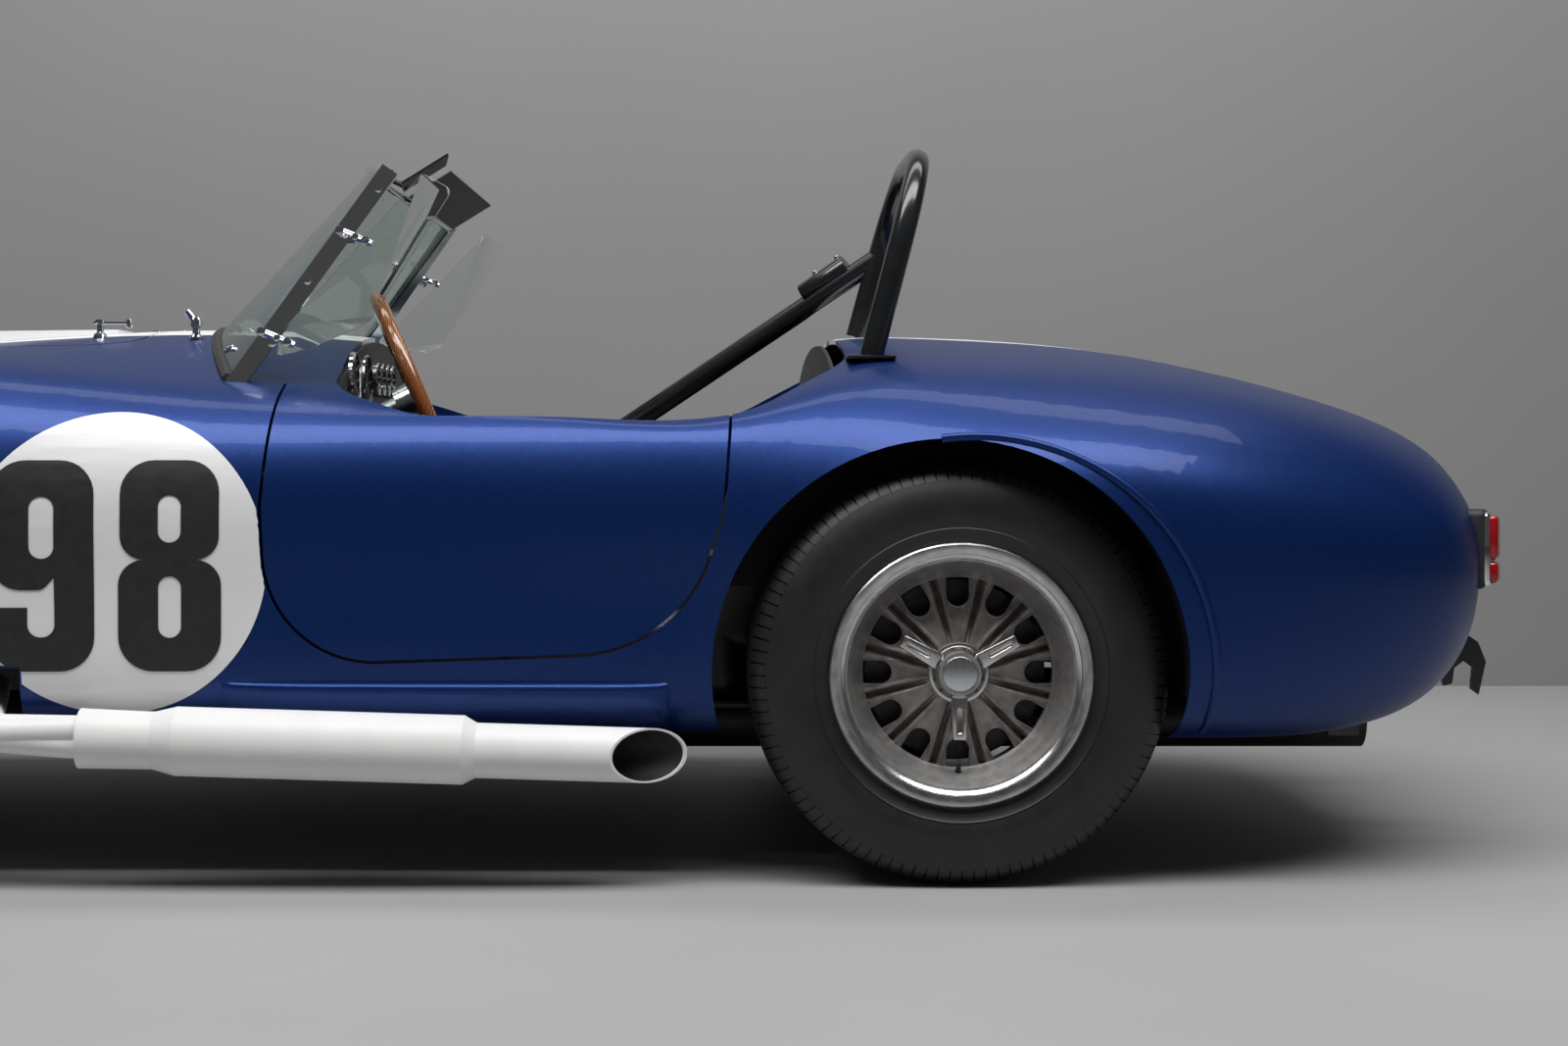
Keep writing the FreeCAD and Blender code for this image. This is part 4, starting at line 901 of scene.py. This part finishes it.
steer = {"centre": (-0.104, 0.340, 0.775), "axis": (-0.92, -0.102, 0.39), "radius": 0.19, "grip": 0.0135}
steerTurn = Matrix.Translation(steer["centre"]) @ swing((0, 0, 1), steer["axis"])
release()
bpy.ops.mesh.primitive_torus_add(major_radius=steer["radius"], minor_radius=steer["grip"], major_segments=96,
                                 minor_segments=20)
rim = bpy.context.object
rim.name = "steeringRim"
for vertex in rim.data.vertices:  # finger grips on the rim's inner side
    turn = math.atan2(vertex.co.y, vertex.co.x)
    reach = Vector((vertex.co.x, vertex.co.y, 0)).length
    if reach < steer["radius"]:
        vertex.co.x *= 1 + 0.006 * math.cos(turn * 32)
        vertex.co.y *= 1 + 0.006 * math.cos(turn * 32)
rim.data.transform(steerTurn)
dress(rim, finish["wood"], "steering_wheel", 60)
spokes = []
for turn in (90, 210, 330):
    spoke = addBlock("spoke", (0.025, -0.016, -0.0105), (steer["radius"] - 0.006, 0.016, -0.0065), 0.001)
    for out in (0.06, 0.095, 0.13):
        hole = addRod("hole", (out, 0, -0.02), (out, 0, 0.01), 0.0075, 24)
        applyModifier(spoke, "BOOLEAN", operation="DIFFERENCE", object=hole, solver="EXACT")
        bpy.data.objects.remove(hole)
    spoke.rotation_euler = (0, 0, math.radians(turn))
    settle(spoke)
    spokes.append(spoke)
hubPlate = addLathe("hubPlate", [(0.0, -0.04), (0.033, -0.04), (0.036, -0.012), (0.042, -0.004), (0.04, -0.001),
                                 (0.026, 0.001), (0.024, 0.006), (0.0, 0.008)], 48, (0, 0, 0), (0, 0, 1))
spider = joinPieces("steeringSpokes", spokes + [hubPlate])
spider.data.transform(steerTurn)
dress(spider, finish["spoke"], "steering_wheel", 30)
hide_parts("steering_wheel")
print("steering wheel done")


# Dashboard: dials and a row of switches

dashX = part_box("dashboard")[0].x
dials = [(0.255, 0.80, 0.052), (0.425, 0.80, 0.052), (0.10, 0.815, 0.028), (0.02, 0.815, 0.028), (-0.06, 0.815, 0.028),
         (-0.14, 0.815, 0.028)]
for number, (across, up, radius) in enumerate(dials):
    middle = (dashX, across, up)
    bezel = addLathe(f"dialBezel{number}", [(radius, 0.0), (radius + 0.004, 0.0), (radius + 0.004, 0.006),
                                            (radius + 0.001, 0.009), (radius - 0.002, 0.007)], 48, middle, (-1, 0, 0))
    dress(bezel, finish["chrome"], "car")
    plate = addLathe(f"dialFace{number}", [(0.0, -0.001), (radius, -0.001), (radius, 0.003), (0.0, 0.003)], 48,
                     middle, (-1, 0, 0))
    dress(plate, finish["plastic"], "car")
    marks = []
    for turn in range(-135, 136, 27):
        mark = addBlock("mark", (-0.0008, -0.0008, radius * 0.78), (0.0, 0.0008, radius * 0.94), 0)
        mark.rotation_euler = (math.radians(turn), 0, 0)
        settle(mark)
        marks.append(mark)
    needle = addBlock("needle", (-0.0015, -0.001, -radius * 0.2), (-0.0005, 0.001, radius * 0.74), 0)
    needle.rotation_euler = (math.radians(110), 0, 0)
    settle(needle)
    scale = joinPieces(f"dialMarks{number}", marks + [needle])
    scale.data.transform(Matrix.Translation((dashX - 0.0032, across, up)))
    dress(scale, finish["white"], "car")
toggles = []
toggleZ = 0.735
for across in (0.56, 0.53, 0.50, 0.02, -0.02, -0.06):
    toggles.append(addLathe("nut", [(0.003, 0), (0.009, 0), (0.0085, 0.005), (0.003, 0.006)], 20,
                            (dashX, across, toggleZ), (-1, 0, 0)))
    toggles.append(addRod("lever", (dashX - 0.004, across, toggleZ), (dashX - 0.024, across, toggleZ - 0.008),
                          0.0032, 12, 0.001))
dress(joinPieces("dashSwitches", toggles), finish["chrome"], "car")
print("dashboard done")


# Seats: blown-up pads with sewn channels

pads = {"inner": 0.132, "outer": 0.504, "front": -0.248, "rear": -0.666, "base": 0.267, "top": 0.376, "channels": 6,
        "backLean": -14, "backFoot": (-0.690, 0.335), "backTall": 0.43, "backThick": 0.085}


def softPad(name, low, high, voxel=0.011, cap=0.012):
    pad = addBlock(name, low, high, 0.022, 3)
    applyModifier(pad, "REMESH", mode="VOXEL", voxel_size=voxel)
    rest = [vertex.co.copy() for vertex in pad.data.vertices]
    cloth = pad.modifiers.new("Cloth", "CLOTH")
    cloth.settings.use_pressure = True
    cloth.settings.uniform_pressure_force = 4
    cloth.settings.effector_weights.gravity = 0
    for step in range(1, 21):
        bpy.context.scene.frame_set(step)
    blown = pad.evaluated_get(bpy.context.evaluated_depsgraph_get()).to_mesh()
    moved = [vertex.co.copy() for vertex in blown.vertices]
    pad.modifiers.clear()
    for vertex, start, end in zip(pad.data.vertices, rest, moved):
        shift = end - start
        vertex.co = start + shift * min(1, cap / max(shift.length, 1e-6))
    bpy.context.scene.frame_set(1)
    applyModifier(pad, "SUBSURF", levels=1, render_levels=1)
    return pad


def sewChannels(pad, isFace, spots, depth=0.007, half=0.006):
    for vertex in pad.data.vertices:
        if isFace(vertex):
            for spot in spots:
                vertex.co -= vertex.normal * depth * math.exp(-((vertex.co.y - spot) / half) ** 2)


channelSpots = [pads["inner"] + 0.055 + (pads["outer"] - pads["inner"] - 0.11) * step / pads["channels"]
                for step in range(pads["channels"] + 1)]
middle = (pads["inner"] + pads["outer"]) / 2
swell = 0.008  # room left for the pads to blow up
cushion = softPad("seatCushion", (pads["rear"], pads["inner"], pads["base"] + swell),
                  (pads["front"], pads["outer"], pads["top"] - swell))
for vertex in cushion.data.vertices:
    if vertex.co.z > 0.33:  # side bolsters and a slight fall to the rear
        away = max(0, abs(vertex.co.y - middle) - 0.115) / 0.07
        vertex.co.z += 0.05 * min(1, away) ** 2 * (3 - 2 * min(1, away)) - 0.012 * (pads["front"] - vertex.co.x) / 0.4
sewChannels(cushion, lambda vertex: vertex.normal.z > 0.6 and abs(vertex.co.y - middle) < 0.15, channelSpots)
back = softPad("seatBack", (0.006, pads["inner"], 0), (pads["backThick"], pads["outer"], pads["backTall"]))
for vertex in back.data.vertices:
    if vertex.co.x > 0.045:
        away = max(0, abs(vertex.co.y - middle) - 0.12) / 0.06
        vertex.co.x += 0.02 * min(1, away) ** 2
    vertex.co.y = middle + (vertex.co.y - middle) * (1 - 0.12 * max(0, vertex.co.z - 0.25) / 0.18)
sewChannels(back, lambda vertex: vertex.normal.x > 0.6 and abs(vertex.co.y - middle) < 0.15, channelSpots)
backPlace = Matrix.Translation((pads["backFoot"][0], 0, pads["backFoot"][1]))
back.data.transform(backPlace @ Matrix.Rotation(math.radians(pads["backLean"]), 4, "Y"))
for name, pad in (("seatCushion", cushion), ("seatBack", back)):
    bothSides(name, pad, finish["leather"], "car", 60)
for sideName in ("left", "right"):
    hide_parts("seats")
print("seats done")


# Small bright parts on the bonnet, and the roll bar's joints

def topSurface(x, y, name="body_shell"):
    hit, point, normal, index = nodes[name].ray_cast(Vector((x, y, 1.5)), Vector((0, 0, -1)))
    return point if hit else Vector((x, y, 0.9))


latches = []
for side in (1, -1):
    foot = topSurface(0.475, side * 0.25, "bonnet")
    latches.append(addLathe("latchBase", [(0, 0), (0.013, 0), (0.011, 0.006), (0.006, 0.01), (0.006, 0.024),
                                          (0.009, 0.026), (0.009, 0.032), (0, 0.033)], 24, foot, (0, 0, 1)))
    latches.append(addBlock("latchLever", foot + Vector((-0.052, -0.005, 0.024)), foot + Vector((0.012, 0.005, 0.029)),
                            0.002))
    latches.append(addRod("latchKnob", foot + Vector((-0.052, 0, 0.018)), foot + Vector((-0.052, 0, 0.033)),
                          0.0055, 16, 0.001))
dress(joinPieces("bonnetLatches", latches), finish["chrome"], "bonnet")
jets = []
for side in (1, -1):
    foot = topSurface(0.294, side * 0.3)
    jets.append(addLathe("jet", [(0, 0), (0.012, 0), (0.012, 0.004), (0.007, 0.009), (0.007, 0.02), (0.0105, 0.022),
                                 (0.0105, 0.034), (0.007, 0.038), (0, 0.039)], 24, foot, (0, 0, 1)))
    jets.append(addRod("jetArm", foot + Vector((0, 0, 0.028)), foot + Vector((0.016, 0, 0.05)), 0.006, 16, 0.0015))
dress(joinPieces("screenJets", jets), finish["chrome"], "car")
hoopFoot = topSurface(-0.872, 0.556)
flange = addBlock("hoopFlange", (-0.917, 0.512, 0.845), (-0.835, 0.600, 0.852), 0.003)
flange.data.transform(Matrix.Translation((0, 0, hoopFoot.z - 0.848)))
dress(flange, finish["black"], "car")
braceHigh, braceLow = Vector((-0.934, 0.098, 1.069)), Vector((0.169, -0.300, 0.312))
braceLine = (braceLow - braceHigh).normalized()
sleeveAt = braceHigh + braceLine * 0.13
sleeve = addRod("braceSleeve", sleeveAt - braceLine * 0.05, sleeveAt + braceLine * 0.05, 0.0235, 32, 0.002)
dress(sleeve, finish["black"], "car")
bolts = []
for shift in (-0.025, 0.025):
    spot = sleeveAt + braceLine * shift
    bolts.append(addRod("bolt", spot + Vector((0, 0, 0.033)), spot - Vector((0, 0, 0.033)), 0.006, 6, 0.001))
dress(joinPieces("sleeveBolts", bolts), finish["chrome"], "car")
print("small parts done")


# Studio: pale floor, grey backdrop, soft lamps

studio = {"floor": (0.36, 0.36, 0.36), "wall": (0.24, 0.24, 0.238), "wallY": -2.42}


def backdropMaterial(name, color, patch):
    material = newMaterial(name, color, roughness=0.6)
    low, high = spread(color, patch)
    feed(material, "Base Color", ramp(material, noise(material, 1.3), low, high, 0.3, 0.7))
    return material


release()
bpy.ops.mesh.primitive_plane_add(size=40, location=(0, 0, 0))
studioFloor = bpy.context.object
studioFloor.name = "studioFloor"
studioFloor.data.materials.append(backdropMaterial("floorPaint", studio["floor"], 0.03))
release()
bpy.ops.mesh.primitive_plane_add(size=40, location=(0, studio["wallY"], 0), rotation=(math.radians(90), 0, 0))
studioWall = bpy.context.object
studioWall.name = "studioWall"
studioWall.data.materials.append(backdropMaterial("wallPaint", studio["wall"], 0.02))

world = bpy.data.worlds.new("studioWorld")
bpy.context.scene.world = world
world.use_nodes = True
world.node_tree.nodes["Background"].inputs["Color"].default_value = (0.06, 0.06, 0.06, 1)


def softLamp(name, spot, aim, width, height, watts):
    bpy.ops.object.light_add(type="AREA", location=spot)
    lamp = bpy.context.object
    lamp.name = name
    lamp.data.shape = "RECTANGLE"
    lamp.data.size = width
    lamp.data.size_y = height
    lamp.data.energy = watts
    lamp.rotation_euler = (Vector(aim) - Vector(spot)).to_track_quat("-Z", "Y").to_euler()


softLamp("overheadLamp", (-0.5, 2.0, 4.3), (-0.5, 0.3, 0.3), 7, 1.6, 290)
softLamp("wallLamp", (-0.5, -0.6, 4.6), (-0.5, -2.6, 1.4), 7, 1.2, 110)

view = {"spot": (-0.560, 4.790, 0.716), "lens": 58.4, "sensor": 36, "shiftX": 0.06625, "shiftY": -0.0572}
release()
bpy.ops.object.camera_add(location=view["spot"], rotation=(math.radians(90), 0, math.radians(180)))
viewCamera = bpy.context.object
viewCamera.data.sensor_width = view["sensor"]
viewCamera.data.lens = view["lens"]
viewCamera.data.shift_x = view["shiftX"]
viewCamera.data.shift_y = view["shiftY"]
bpy.context.scene.camera = viewCamera
bpy.context.scene.view_settings.view_transform = "Standard"
print("studio done")
